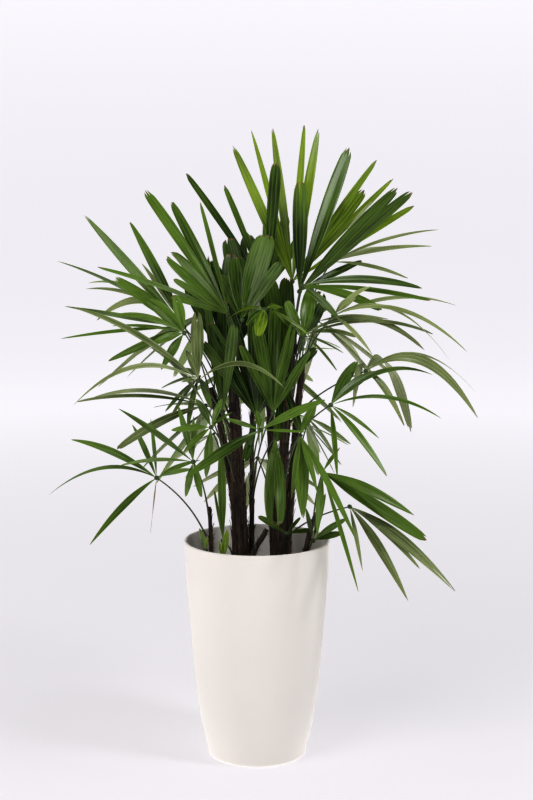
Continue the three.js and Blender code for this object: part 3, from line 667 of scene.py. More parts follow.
# Each frond: the cane and height that its stalk leaves, its knot, the way its blade faces (degrees
# round from the front, then raised), how far its leaflets sag (a share of their length), its tone and
# its leaflets. A leaflet is its angle on the blade (degrees), its length, its width and, where it
# differs, its own sag. Other fronds give the fan from the first leaflet to the last, each leaflet's
# length and one width. Lengths are in mm.
FRONDS = (
    frond_of("top_front", "right", 1050, (105, -60, 1195), (5, 8), 0.06, "dark",
             ((91, 295, 38), (70, 440, 38), (49, 360, 32), (44, 385, 28), (29, 200, 20))),
    frond_of("top_back", "back_right", 940, (90, 130, 1205), (-5, 6), 0.04, "light",
             ((113, 395, 26), (104, 420, 16), (98, 420, 24), (86, 415, 20), (82, 425, 28),
              (56, 400, 20), (55, 335, 36), (47, 375, 18), (35, 395, 20))),
    frond_of("right_high", "right", 1020, (185, -20, 1265), (10, 20), 0.2, "olive",
             ((60, 250, 12), (26, 310, 9), (15, 260, 13), (26, 200, 12), (-1, 195, 10))),
    frond_of("right_arch", "right", 930, (110, -130, 1215), (0, 25), 0.2, "dark",
             ((21, 350, 22), (2, 315, 13, 0.12), (-4, 195, 22), (-41, 120, 19))),
    frond_of("right_shoulder", "right", 890, (185, -160, 1145), (5, 35), 0.3, "olive",
             ((48, 150, 12), (35, 440, 13), (16, 350, 11, 0.66), (29, 340, 11, 0.82), (48, 90, 19),
              (-46, 125, 11))),
    frond_of("left_top", "main", 900, (-70, -80, 1140), (-5, 10), 0.06, "dark",
             ((155, 370, 13, 0.1), (145, 165, 20), (133, 225, 44), (123, 405, 27), (117, 360, 27),
              (102, 300, 12), (160, 150, 17))),
    frond_of("middle_top", "back", 1000, (25, 60, 1185), (0, 8), 0.05, "dark",
             ((122, 420, 20), (111, 300, 16), (86, 350, 30), (77, 280, 30))),
    frond_of("left_wide", "main", 860, (-180, -40, 1105), (-10, 20), 0.1, "dark",
             ((117, 330, 25), (134, 415, 25, 0), (145, 420, 9, 0.18), (145, 215, 32, 0.04),
              (172, 310, 13, 0), (187, 300, 9), (199, 220, 20, 0.04))),
    frond_of("left_rear", "back_left", 860, (-200, 90, 1115), (-20, 15), 0.32, "olive",
             ((127, 210, 15, 0.12), (144, 430, 10), (148, 295, 10), (144, 320, 20, 0.62),
              (228, 275, 12, 0))),
    frond_of("left_fore", "main", 780, (-140, -180, 990), (-10, 20), 0.26, "olive",
             ((112, 135, 17), (140, 410, 15), (150, 380, 13, 0.68), (166, 50, 10), (98, 215, 34, 0.1),
              (36, 295, 12, 0.68))),
    frond_of("left_middle", "back_left", 690, (-130, 20, 900), (-10, 30), 0.3, "olive",
             ((125, 280, 13), (158, 335, 12, 0.38), (173, 340, 10, 0.22), (200, 225, 23),
              (248, 80, 15))),
    frond_of("left_inner", "left", 640, (-155, -140, 785), (0, 15), 0.1, "dark",
             ((90, 125, 12), (104, 165, 17), (140, 240, 15), (171, 185, 10, 0.2), (257, 80, 17),
              (284, 85, 17))),
    frond_of("left_low", "left", 560, (-250, -60, 730), (-15, 30), 0.15, "dark",
             ((214, 220, 20, 0.22), (154, 420, 13, 0.48), (151, 275, 18, 0.22), (121, 260, 15),
              (99, 170, 10), (47, 135, 17), (24, 105, 12))),
    frond_of("young_star", "slim", 700, (10, -210, 875), (0, 40), 0.07, "dark",
             ((220, 240, 29), (166, 90, 13), (100, 62, 16), (27, 180, 25), (2, 115, 9))),
    frond_of("hanging", "slim", 640, (45, -170, 850), (10, 20), 0.02, "dark",
             ((256, 125, 16), (265, 215, 60))),
    frond_of("right_middle", "right", 740, (180, -140, 925), (5, 30), 0.2, "dark",
             ((48, 190, 22), (46, 405, 13, 0.48), (21, 305, 10, 0.46), (-21, 135, 11),
              (-46, 185, 19, 0.3), (64, 200, 29, 0.14), (-88, 165, 13))),
    frond_of("right_wide", "right", 830, (270, -40, 995), (20, 25), 0.72, "olive",
             ((30, 370, 26, 0.92), (33, 520, 9, 0.58), (49, 360, 38, 1.06), (110, 95, 28, 1.9),
              (-34, 105, 22, 0.9))),
    frond_of("front_middle", "right", 650, (105, -200, 860), (0, 50), 0.14, "dark",
             ((271, 225, 36), (282, 185, 17), (72, 135, 22), (295, 305, 17), (264, 250, 14))),
    frond_of("right_lower", "front", 600, (160, -170, 765), (12, 40), 0.08, "dark",
             ((55, 110, 10), (-24, 235, 27, 0.14), (-27, 315, 37, 0.04), (-78, 285, 11),
              (-102, 155, 19), (-33, 185, 15))),
    frond_of("right_low", "right", 545, (230, -100, 665), (18, 35), 0.24, "olive",
             ((-46, 305, 36), (-56, 230, 27), (-38, 205, 16), (-97, 180, 12, 0.12))),
    frond_of("rim_middle", "right", 500, (75, -70, 590), (0, 10), 0.1, "dark",
             ((144, 90, 17), (53, 60, 10), (13, 70, 12))),
    frond_of("rim_right", "front", 500, (140, -80, 575), (0, 10), 0.1, "dark",
             ((101, 90, 12), (77, 140, 15), (38, 105, 17), (19, 80, 18))),
    frond_of("rim_left", "left", 480, (-128, -84, 550), (0, 10), 0.02, "light",
             ((106, 62, 12), (82, 40, 7))),
    frond_of("rim_strap", "main", 505, (-84, -84, 575), (0, 5), 0.02, "dark",
             ((91, 240, 21), (100, 130, 8))),
    frond_of("rim_front", "main", 480, (-84, -118, 534), (0, 5), 0.02, "light",
             ((82, 76, 17), (103, 50, 8))),
    frond_of("centre_bent", "slim", 905, (20, -200, 1165), (0, 50), 0.36, "light",
             ((145, 115, 19), (258, 75, 31), (26, 50, 24), (-1, 120, 10), (223, 60, 21))),
    frond_of("upright_left", "main", 760, (-85, -50, 895), (-20, 5), 0.04, "dark",
             ((104, 300, 30), (99, 295, 32), (95, 290, 32), (75, 255, 30), (112, 175, 30))),
    frond_of("upright_middle", "slim", 740, (0, -70, 885), (8, 5), 0.04, "dark",
             ((115, 275, 30), (102, 310, 32), (94, 305, 35), (84, 295, 35), (68, 270, 22),
              (52, 220, 22), (250, 115, 24), (124, 240, 26))),
    frond_of("upright_right", "right", 860, (115, -40, 1085), (20, 15), 0.3, "olive",
             ((27, 495, 17, 0.5), (19, 500, 11, 0.28), (17, 175, 12), (52, 175, 15))),
    frond_of("upright_front", "slim", 670, (40, -140, 905), (0, 10), 0.06, "dark",
             ((61, 190, 24), (78, 255, 29), (89, 280, 32), (100, 245, 32), (114, 195, 22))),
    frond_of("side_left", "main", 720, (-150, 120, 960), (280, 55), 0.16, "dark",
             fan=(185, 355), lengths=(150, 150, 130, 120, 125, 150, 150), width=26),
    frond_of("side_left_low", "back_left", 600, (-115, 190, 800), (250, 50), 0.16, "olive",
             fan=(180, 350), lengths=(140, 140, 130, 120, 125, 130), width=26),
    frond_of("side_right", "back_right", 890, (125, 230, 1055), (80, 60), 0.16, "dark",
             fan=(185, 355), lengths=(160, 140, 120, 110, 130, 155), width=26),
    frond_of("side_right_low", "back_right", 620, (130, 160, 830), (100, 50), 0.18, "dark",
             fan=(185, 355), lengths=(160, 150, 130, 125, 150, 165), width=28),
    frond_of("back_top", "back", 1080, (40, 220, 1190), (10, 40), 0.08, "dark",
             fan=(120, 60), lengths=(190, 220, 240, 230, 200), width=32),
    frond_of("back_left_top", "back_left", 890, (-120, 250, 1120), (203, 60), 0.16, "dark",
             fan=(175, 365), lengths=(210, 260, 300, 310, 300, 260, 210), width=28),
    frond_of("back_right_top", "back_right", 950, (160, 260, 1090), (152, 60), 0.16, "olive",
             fan=(175, 365), lengths=(210, 260, 300, 310, 300, 260, 210), width=28),
    frond_of("back_middle", "back", 840, (15, 320, 985), (180, 55), 0.2, "dark",
             fan=(172, 368), lengths=(210, 250, 270, 280, 270, 250, 210), width=30),
    frond_of("back_left_low", "back_left", 720, (-120, 255, 860), (222, 52), 0.18, "dark",
             fan=(180, 360), lengths=(190, 230, 250, 250, 230, 190), width=28),
    frond_of("back_right_low", "back_right", 700, (130, 260, 835), (138, 52), 0.18, "dark",
             fan=(180, 360), lengths=(130, 130, 150, 210, 230, 190), width=28),
    frond_of("back_low", "back", 600, (0, 250, 725), (178, 45), 0.2, "olive",
             fan=(190, 350), lengths=(180, 210, 230, 230, 210, 180), width=28),
    frond_of("front_left", "main", 690, (-110, -170, 875), (-15, 40), 0.16, "dark",
             ((119, 190, 19), (188, 95, 17), (232, 85, 19), (75, 85, 19), (57, 75, 12),
              (275, 120, 22))),
    frond_of("front_high", "main", 930, (-35, -150, 1135), (-8, 15), 0.06, "dark",
             ((78, 235, 62), (99, 185, 48), (117, 175, 34), (58, 175, 31))),
    frond_of("front_outer_left", "main", 820, (-175, -130, 1100), (-20, 15), 0.16, "dark",
             ((154, 220, 15, 0.26), (137, 155, 34), (104, 110, 29), (168, 200, 8), (196, 85, 24),
              (236, 95, 26))),
    frond_of("front_outer_right", "right", 780, (110, -150, 1090), (25, 10), 0.06, "dark",
             ((53, 160, 50), (71, 145, 36), (106, 105, 29), (126, 95, 10))),
    frond_of("inner_left", "main", 850, (-75, 20, 1010), (-12, 4), 0.04, "dark",
             ((115, 230, 35), (101, 285, 40), (90, 285, 45), (77, 275, 45), (68, 220, 40))),
    frond_of("inner_middle", "slim", 905, (-20, 70, 1080), (8, 6), 0.04, "dark",
             ((118, 215, 41), (101, 255, 46), (88, 270, 46), (73, 230, 46))),
    frond_of("inner_right", "right", 780, (65, -50, 975), (18, 2), 0.04, "dark",
             ((102, 230, 40), (93, 265, 42), (84, 265, 40), (64, 215, 35), (42, 120, 25),
              (262, 150, 24), (284, 130, 22))),
)


def seeded(state):
    """The chain of numbers between 0 and 1 that the solids' leaflets were dealt by."""
    while True:
        state = (state * 1664525 + 1013904223) % 2**32
        yield state / 2**32


def blade_axes(face):
    """Across the blade, up it and out of its face."""
    f, r = np.radians(face)
    return (
        np.array((math.cos(f), math.sin(f), 0)),
        np.array((-math.sin(f) * math.sin(r), math.cos(f) * math.sin(r), math.cos(r))),
        np.array((math.sin(f) * math.cos(r), -math.cos(f) * math.cos(r), math.sin(r))),
    )


def even_fan(frond, draw):
    """The sizes of leaflets that spread evenly over a fan."""
    first, last = frond["fan"]
    count = len(frond["lengths"])
    for i, length in enumerate(frond["lengths"]):
        place = i / (count - 1)
        outer = abs(2 * place - 1)
        angle = first + (last - first) * place + (next(draw) - 0.5) * ANGLE_SPREAD
        width = frond["width"] * (1 - OUTER_NARROWER * outer)
        yield angle, length, width * (LEAST_WIDTH + WIDTH_SPREAD * next(draw))


def leaflets_of(frond, seed):
    """Angle, length, width, sag, curl, twist and lift of each leaflet."""
    draw = seeded(seed)
    found = []
    for angle, length, width, *sag in frond["leaflets"] or list(even_fan(frond, draw)):
        found.append({
            "angle": angle,
            "length": length,
            "width": width,
            "sag": sag[0] if sag else frond["sag"],
            "curl": (next(draw) - CURL_MIDDLE) * CURL_SPREAD,
            "twist": (next(draw) - 0.5) * TWIST_SPREAD,
            "lift": (next(draw) - 0.5) * LIFT_SPREAD,
        })
    return found


def unit(vectors):
    """Vectors of length one in the same directions."""
    return vectors / np.linalg.norm(vectors, axis=-1, keepdims=True)


def leaflet_line(frond, leaflet, swing, shares):
    """Middle, side and underside direction of a leaflet at shares of its length, in mm."""
    across, up, out = blade_axes(frond["face"])
    a = math.radians(leaflet["angle"])
    lift = math.radians(leaflet["lift"] + swing)
    way = (across * math.cos(a) + up * math.sin(a)) * math.cos(lift) + out * math.sin(lift)
    flat = up * math.cos(a) - across * math.sin(a)
    down = np.array((0, 0, -1.0))
    s = np.asarray(shares, float)[:, None]
    length = leaflet["length"]
    sag, curl = leaflet["sag"], leaflet["curl"]
    middle = (
        np.array(frond["hub"], float)
        + way * (LEAFLET_ROOT + s * (length - LEAFLET_ROOT))
        + (down * sag + out * curl) * length * s**2
    )
    along = unit(way + (down * sag + out * curl) * 2 * s)
    turn = leaflet["twist"] * s
    side = unit(flat * np.cos(turn) + out * np.sin(turn) - along * (along @ flat)[:, None])
    return middle, side, np.cross(side, along)


def stalk_ends(frond, swing):
    """Start, bow and end of a frond's stalk, in mm."""
    cane = CANES[frond["cane"]]
    share = (frond["at"] - MIX_TOP) / (cane["top"][2] - MIX_TOP)
    axis = bezier(cane_ends(cane), [share])[0]
    hub = np.array(frond["hub"], float)
    outward = unit(np.array((hub[0] - axis[0], hub[1] - axis[1], 0)))
    low, top = cane["radii"]
    skin = low + (top - low) * share
    start = axis + outward * (skin + STALK_RADIUS + STALK_CLEARANCE)
    bow = start + (hub - start) * STALK_BOW[0] + np.array((-outward[1], outward[0], 0)) * swing
    bow[2] = start[2] + STALK_BOW[1] * (hub[2] - start[2])
    return start, bow, hub


def nearest(points, corners):
    """The distance from each point to the nearest corner of a solid."""
    return np.linalg.norm(corners[None] - points[:, None], axis=2).min(1)


def corners_of(node):
    """A node's vertices in mm."""
    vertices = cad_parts[node].data.vertices
    found = np.empty(len(vertices) * 3)
    vertices.foreach_get("co", found)
    return found.reshape(-1, 3) / MM


# The finished leaflet, in mm and in shares of its length. Its outline lies between a blunt and a
# pointed one: the narrower it is, and the farther out its frond, the more pointed. A wide one may be
# split towards its tip. It folds along its middle, mostly at its root, and its pleats end in teeth.
BLUNT = ((0, 0.08), (0.15, 0.38), (0.36, 0.76), (0.66, 1.0), (0.88, 0.92), (0.96, 0.72), (1.0, 0.40))
POINTED = ((0, 0.08), (0.15, 0.50), (0.34, 0.94), (0.52, 1.0), (0.74, 0.74), (0.90, 0.36), (1.0, 0.06))
OUTLINE_STEPS = 10
POINTED_BELOW = 18
POINTED_RANGE = 60
POINT_SPREAD = 0.6
OUTER_FROM_TO = (65, 235)
SPLIT_WIDTH = 26
SPLIT_SHARE = 0.3
SPLIT_FROM = (0.6, 0.25)
SPLIT_OPENS = 0.34
LEAFLET_ROWS = 18
BLADE_THICKNESS = 0.7
FOLD = (0.42, 0.07)
PLEAT_WIDTH = 11
PLEAT_POWER = 1.2
PLEAT_HEIGHT = 0.75
FULL_PLEATS_FROM = 14
MOST_PLEATS = 8
TEETH_FROM = 0.86
TEETH_DEPTH = 0.55
SHALLOW_TEETH = 0.35
# How far a leaflet's colour follows its frond's place rather than chance, as painted light and shade:
# a leaflet is darker the nearer its frond stands to the middle of the clump, where shade falls, and
# lighter and greyer farther out, where light and sheen fall. Then the fronds that are given more
# painted sun (1) or more painted shade (0) than their place tells.
PAINTED_SUN_SHARE = 0.62
OWN_SUN = {
    "frond_left_top": 0.85,
    "frond_upright_left": 0.25,
    "frond_middle_top": 0.3,
    "frond_left_fore": 0.75,
    "frond_centre_bent": 0.1,
    "frond_hanging": 1.0,
}
# The finished stalk thins from its foot to its knot. The foot widens and sinks into the bark over a
# short share of the stalk.
STALK_ROWS = 18
STALK_SIDES = 8
FINE_STALK_RADII = (2.1, 1.6)
FOOT_SHARE = 0.05
FOOT_DEPTH = 4.0
FOOT_WIDER = 2.6
FOOT_FLATNESS = 0.6
ASIDE = (0.31, 0.17, 0.93)  # a way that no stalk runs
KNOT = (6.5, 3.2)
KNOT_ROWS = 7
KNOT_END = 0.06
STRIP_MARGIN = 0.04
MAP_MARGIN = 0.01
SHARP_ANGLE = 75
UPPER, UNDER, STALK, DRY = range(4)

blunt_line = through(BLUNT, OUTLINE_STEPS)
pointed_line = through(POINTED, OUTLINE_STEPS)


def new_sheets(strips, outer, sun):
    """The growing lists of one frond's mesh, with room for its strips side by side on the UV map."""
    return {
        "points": [], "rib": [], "along": [], "shade": [], "outer": outer, "sun": sun,
        "faces": [], "slots": [], "uvs": [], "strip": 0, "strips": strips,
    }


def add_points(sheets, points, rib, along, shade=0.5):
    """Adds a grid of points and gives their numbers."""
    first = len(sheets["points"])
    sheets["points"].extend((points.reshape(-1, 3) * MM).tolist())
    sheets["rib"].extend(rib.ravel().tolist())
    sheets["along"].extend(along.ravel().tolist())
    sheets["shade"].extend([shade] * rib.size)
    return np.arange(first, first + rib.size).reshape(rib.shape)


def add_quads(sheets, numbers, slot, flip=False):
    """Faces over a grid of point numbers, on the next free strip of the UV map."""
    rows, columns = numbers.shape
    left = (sheets["strip"] + STRIP_MARGIN) / sheets["strips"]
    breadth = (1 - 2 * STRIP_MARGIN) / sheets["strips"] / (columns - 1)
    tall = (1 - 2 * MAP_MARGIN) / (rows - 1)
    sheets["strip"] += 1
    for i in range(rows - 1):
        for j in range(columns - 1):
            corners = [(i, j), (i, j + 1), (i + 1, j + 1), (i + 1, j)]
            face = [numbers[c] for c in corners]
            kept = [k for k in range(4) if face[k] != face[k - 1]]
            if flip:
                kept.reverse()
            sheets["faces"].append([int(face[k]) for k in kept])
            sheets["uvs"].extend(
                (left + breadth * corners[k][1], MAP_MARGIN + tall * corners[k][0]) for k in kept
            )
            sheets["slots"].append(slot)


def add_blade(sheets, place, width, columns, edges, slots, draw, point):
    """A thin closed blade of pleats between two edges (shares of the half width) of one leaflet."""
    # Painted light and shade: the leaflet is lighter the more sun its frond is given, darker the less.
    shade = PAINTED_SUN_SHARE * sheets["sun"] + (1 - PAINTED_SUN_SHARE) * next(draw)
    rows = np.linspace(0, 1, LEAFLET_ROWS)
    teeth = [1 - TEETH_DEPTH * next(draw) * (SHALLOW_TEETH if j % 2 else 1.0) for j in range(columns)]
    teeth[columns // 2] = 1.0
    upper = np.empty((LEAFLET_ROWS, columns, 3))
    under = np.empty((LEAFLET_ROWS, columns, 3))
    shares = np.empty((LEAFLET_ROWS, columns))
    for j in range(columns):
        s = np.where(rows > TEETH_FROM, TEETH_FROM + (rows - TEETH_FROM) * teeth[j], rows)
        middle, side, below = place(s)
        blunt, pointed = (np.interp(s, *line.T) for line in (blunt_line, pointed_line))
        half = (width / 2 * (blunt + (pointed - blunt) * point))[:, None]
        first, last = edges(s)
        a = (first + (last - first) * j / (columns - 1))[:, None]
        fold = (FOLD[0] * (1 - s) ** 2 + FOLD[1])[:, None]
        crease = PLEAT_HEIGHT * np.minimum(1, half / FULL_PLEATS_FROM) * (1 if j % 2 == 0 else -1)
        sunk = fold * half * (0.5 - np.abs(a)) + crease
        centre = middle + side * a * half + below * sunk
        gap = 0 if j in (0, columns - 1) else BLADE_THICKNESS / 2
        upper[:, j] = centre - below * gap
        under[:, j] = centre + below * gap
        shares[:, j] = s
    for end in (0, -1):
        upper[end] = under[end] = (upper[end] + under[end]) / 2
    rib = np.tile(np.arange(columns) / 2, (LEAFLET_ROWS, 1))
    top = add_points(sheets, upper, rib, shares, shade)
    bottom = top.copy()
    inner = (slice(1, -1), slice(1, -1))
    bottom[inner] = add_points(sheets, under[inner], rib[inner], shares[inner], shade)
    add_quads(sheets, top, slots[0], flip=True)
    add_quads(sheets, bottom, slots[1])


def add_leaflet(sheets, frond, leaflet, swing, draw, slots=(UPPER, UNDER)):
    """One leaflet, whole or split towards its tip into two."""
    width = leaflet["width"]
    pleats = int(np.clip(round((width / PLEAT_WIDTH) ** PLEAT_POWER), 1, MOST_PLEATS))
    finer = sheets["outer"] + (POINTED_BELOW - width) / POINTED_RANGE
    point = np.clip(finer + POINT_SPREAD * (next(draw) - 0.5), 0, 1)
    split = width > SPLIT_WIDTH and next(draw) < SPLIT_SHARE
    opens = SPLIT_FROM[0] + SPLIT_FROM[1] * next(draw)

    def place(shares):
        return leaflet_line(frond, leaflet, swing, shares)

    def slit(s):
        return SPLIT_OPENS * np.clip((s - opens) / (1 - opens), 0, 1)

    def whole(s):
        return -np.ones_like(s), np.ones_like(s)

    def right(s):
        return -np.ones_like(s), -slit(s)

    def left(s):
        return slit(s), np.ones_like(s)

    if split:
        pleats = (pleats + 1) // 2
    for edges in (right, left) if split else (whole,):
        add_blade(sheets, place, width, 2 * pleats + 1, edges, slots, draw, point)


def add_tube(sheets, middles, firsts, seconds, radii, slot):
    """A closed tube round a line of points, on two axes and two radii at each."""
    turns = np.linspace(0, 2 * math.pi, STALK_SIDES + 1)
    rings = (
        middles[:, None]
        + firsts[:, None] * (np.cos(turns)[None, :, None] * radii[:, None, :1])
        + seconds[:, None] * (np.sin(turns)[None, :, None] * radii[:, None, 1:])
    )
    share = np.repeat(np.linspace(0, 1, len(middles))[:, None], STALK_SIDES, axis=1)
    numbers = add_points(sheets, rings[:, :-1], np.zeros_like(share), share)
    numbers = np.hstack([numbers, numbers[:, :1]])
    for end in (0, -1):
        pole = add_points(
            sheets, middles[end][None], np.zeros((1, 1)), np.full((1, 1), abs(end) * 1.0)
        )
        cap = np.full((1, STALK_SIDES + 1), pole[0, 0])
        numbers = np.vstack([cap, numbers] if end == 0 else [numbers, cap])
    add_quads(sheets, numbers, slot)


def add_stalk(sheets, ends):
    """The stalk, whose widened foot is sunk in the bark that it clasps."""
    shares = np.linspace(0, 1, STALK_ROWS)
    near_foot = np.exp(-shares / FOOT_SHARE)
    inward = unit((ends[0] - ends[2]) * (1, 1, 0))
    line = bezier(ends, shares) + inward * (FOOT_DEPTH * near_foot)[:, None]
    along = unit(np.gradient(line, axis=0))
    side = unit(np.cross(along, ASIDE))
    foot = FOOT_WIDER * near_foot
    radius = np.interp(shares, (0, 1), FINE_STALK_RADII)
    radii = np.stack([radius + foot, radius + foot * FOOT_FLATNESS], axis=1)
    add_tube(sheets, line, side, np.cross(along, side), radii, STALK)


def add_knot(sheets, frond):
    """The flat round knot where the leaflets meet: its radius across the blade and through it."""
    across, up, out = blade_axes(frond["face"])
    turns = np.linspace(KNOT_END, math.pi - KNOT_END, KNOT_ROWS)
    middles = np.array(frond["hub"], float) - out * (KNOT[1] * np.cos(turns))[:, None]
    radii = np.stack([KNOT[0] * np.sin(turns)] * 2, axis=1)
    sides = (np.tile(axis, (KNOT_ROWS, 1)) for axis in (across, up))
    add_tube(sheets, middles, *sides, radii, STALK)


def sheets_mesh(name, sheets):
    """The mesh of the lists, with its own UV map and the attributes that its materials read."""
    mesh = bpy.data.meshes.new(name)
    mesh.from_pydata(sheets["points"], [], sheets["faces"])
    mesh.polygons.foreach_set("material_index", sheets["slots"])
    mesh.uv_layers.new(name="OFBake").uv.foreach_set("vector", np.ravel(sheets["uvs"]))
    for key in ("rib", "along", "shade"):
        mesh.attributes.new(key, "FLOAT", "POINT").data.foreach_set("value", sheets[key])
    mesh.shade_smooth()
    mesh.set_sharp_from_angle(angle=math.radians(SHARP_ANGLE))
    return mesh


# The light tone's yellow-green is partly painted light: it stands in for light that shines through the
# thin top leaflets from behind.
TONES = {  # the upper side from deep to fresh and its ribs, then the underside
    "dark": (
        ((0.0014, 0.0136, 0.0002, 1), (0.130, 0.215, 0.035, 1), (0.201, 0.307, 0.071, 1)),
        ((0.0041, 0.020, 0.0005, 1), (0.206, 0.283, 0.094, 1), (0.277, 0.360, 0.136, 1)),
    ),
    "olive": (
        ((0.031, 0.057, 0.0071, 1), (0.274, 0.321, 0.146, 1), (0.437, 0.490, 0.271, 1)),
        ((0.052, 0.083, 0.0165, 1), (0.336, 0.380, 0.203, 1), (0.472, 0.519, 0.309, 1)),
    ),
    "light": (
        ((0.0118, 0.050, 0.0012, 1), (0.271, 0.380, 0.035, 1), (0.366, 0.484, 0.088, 1)),
        ((0.0189, 0.061, 0.0024, 1), (0.354, 0.460, 0.083, 1), (0.448, 0.555, 0.142, 1)),
    ),
}
# A skin's shade runs from deep to fresh: by its leaflet and by streaks along it. Towards its tip it is
# lighter as painted light, and towards its root darker as painted shade.
RIB_AND_SHEEN_STRENGTH = 0.28
ROOT_STRENGTH = 0.45
PAINTED_TIP_LIGHT_FROM = 0.6
PAINTED_TIP_LIGHT = 0.45
STREAKS = (-0.26, 0.30)
STREAK_SCALE = 7.0
STREAK_STRETCH = (0.35, 0.7, 40.0)
BLOTCH_SCALE = 8.0
DRY_TIP = (0.189, 0.142, 0.071, 1)
DRY_LEAF = ((0.118, 0.077, 0.041, 1), (0.236, 0.165, 0.094, 1), (0.307, 0.224, 0.130, 1))
STALK_GREEN = ((0.024, 0.045, 0.0118, 1), (0.059, 0.097, 0.026, 1))
STALK_BROWN = (0.059, 0.035, 0.024, 1)


def attribute(tree, name):
    """The value of one of the mesh's attributes."""
    return add_node(tree, "ShaderNodeAttribute", attribute_name=name).outputs["Fac"]


def pleat_group():
    """What a leaflet's surface shows: ribs, fine streaks along it, and its dry tip and pale root."""
    tree = bpy.data.node_groups.new("pleats", "ShaderNodeTree")
    shown = ("Ribs", "Streaks", "Dry tip", "Root", "Shade", "Along")
    given, put = add_sockets(
        tree,
        [("Streak scale", "Float", STREAK_SCALE)],
        [(name, "Float") for name in shown],
    )
    rib, along, shade = (attribute(tree, name) for name in ("rib", "along", "shade"))
    wave = number_math(tree, "COSINE", times(tree, rib, 2 * math.pi))
    x, y, z = (times(tree, *pair) for pair in zip((rib, along, shade), STREAK_STRETCH))
    strip = add_node(tree, "ShaderNodeCombineXYZ", {"X": x, "Y": y, "Z": z}).outputs["Vector"]
    streaks = noise(tree, strip, given["Streak scale"], Detail=1.0)
    blotches = noise(tree, place_on_piece(tree), BLOTCH_SCALE, Detail=0.0)
    tip = plus(tree, along, times(tree, streaks, 0.05))
    results = {
        # The ribs include the margins. Their pale colour is partly painted sheen.
        "Ribs": spread(tree, wave, 0.1, 1.0, 0.0, 1.0),
        "Streaks": plus(tree, times(tree, streaks, 0.5), times(tree, blotches, 0.5)),
        "Dry tip": spread(tree, tip, 0.985, 1.01, 0.0, 1.0),
        "Root": spread(tree, along, 0.0, 0.16, 1.0, 0.0),
        "Shade": shade,
        "Along": along,
    }
    for name, result in results.items():
        tree.links.new(result, put[name])
    return tree


pleats = pleat_group()


def leaf_material(name, rough, deep, fresh, rib_colour):
    """A leaflet's skin: its shade runs from deep to fresh, with paler ribs and a dry tip."""
    material, tree, shader = new_material(
        name, IOR=1.45, Specular_IOR_Level=0.04, Coat_Weight=0.45, Coat_Roughness=0.30,
    )
    seen = add_node(tree, "ShaderNodeGroup", node_tree=pleats).outputs
    streaky = spread(tree, seen["Streaks"], 0.36, 0.64, *STREAKS)
    # Painted light and shade: lighter towards the leaflet's tip, darker towards its root.
    tip_light_and_root_shade = times(tree, number_math(tree, "SUBTRACT", seen["Along"], PAINTED_TIP_LIGHT_FROM), PAINTED_TIP_LIGHT)
    share = plus(tree, plus(tree, seen["Shade"], streaky), tip_light_and_root_shade)
    blade = mixed(tree, share, deep, fresh)
    # Paler along the ribs and at the margins: partly the veins' own colour and partly painted sheen,
    # the pale lines that light draws along the pleats and edges.
    ribbed = mixed(tree, times(tree, seen["Ribs"], RIB_AND_SHEEN_STRENGTH), blade, rib_colour)
    rooted = mixed(tree, times(tree, seen["Root"], ROOT_STRENGTH), ribbed, rib_colour)
    tree.links.new(mixed(tree, seen["Dry tip"], rooted, DRY_TIP), shader.inputs["Base Color"])
    roughness = spread(tree, seen["Streaks"], 0.3, 0.7, rough - 0.06, rough + 0.08)
    tree.links.new(roughness, shader.inputs["Roughness"])
    return material


def stalk_material():
    """Green along the stalk and brown and fibrous at its foot."""
    material, tree, shader = new_material("stalk", Roughness=0.5)
    dirt = grimed(tree, place_on_piece(tree), patches=60.0)
    green = mixed(tree, dirt["Patches"], *STALK_GREEN)
    foot = spread(tree, attribute(tree, "along"), 0.02, 0.3, 1.0, 0.0)
    tree.links.new(mixed(tree, foot, green, STALK_BROWN), shader.inputs["Base Color"])
    add_relief(tree, shader, dirt["Grain"], 0.3, 0.0005)
    return material


leaf_skins = {
    tone: (
        leaf_material(f"leaf_{tone}", 0.36, *upper),
        leaf_material(f"leaf_{tone}_under", 0.52, *under),
    )
    for tone, (upper, under) in TONES.items()
}
dry_skin = leaf_material("leaf_dry", 0.75, *DRY_LEAF)
stalk_skin = stalk_material()

# Shrivelled leaflets that still hang from their knots.
DRY_LEAFLETS = {
    "frond_left_low": {
        "angle": 268, "length": 125, "width": 5, "sag": 0.14, "curl": 0.05, "twist": 1.6, "lift": -14,
    },
}
# The swings of a frond's stalk and leaflets are found again on its solid: the stalk's from points
# along it, and a leaflet's from its tip. A tip farther than this from any corner has no leaflet.
STALK_PROBES = np.linspace(0.15, 0.85, 8)
FARTHEST_TIP = 14
# A split leaflet takes four strips of the UV map. The stalk, the knot and a dry leaflet take four too.
STRIPS_EACH = 4
FINE_SEED = 4000
FINE_SEED_STEP = 7

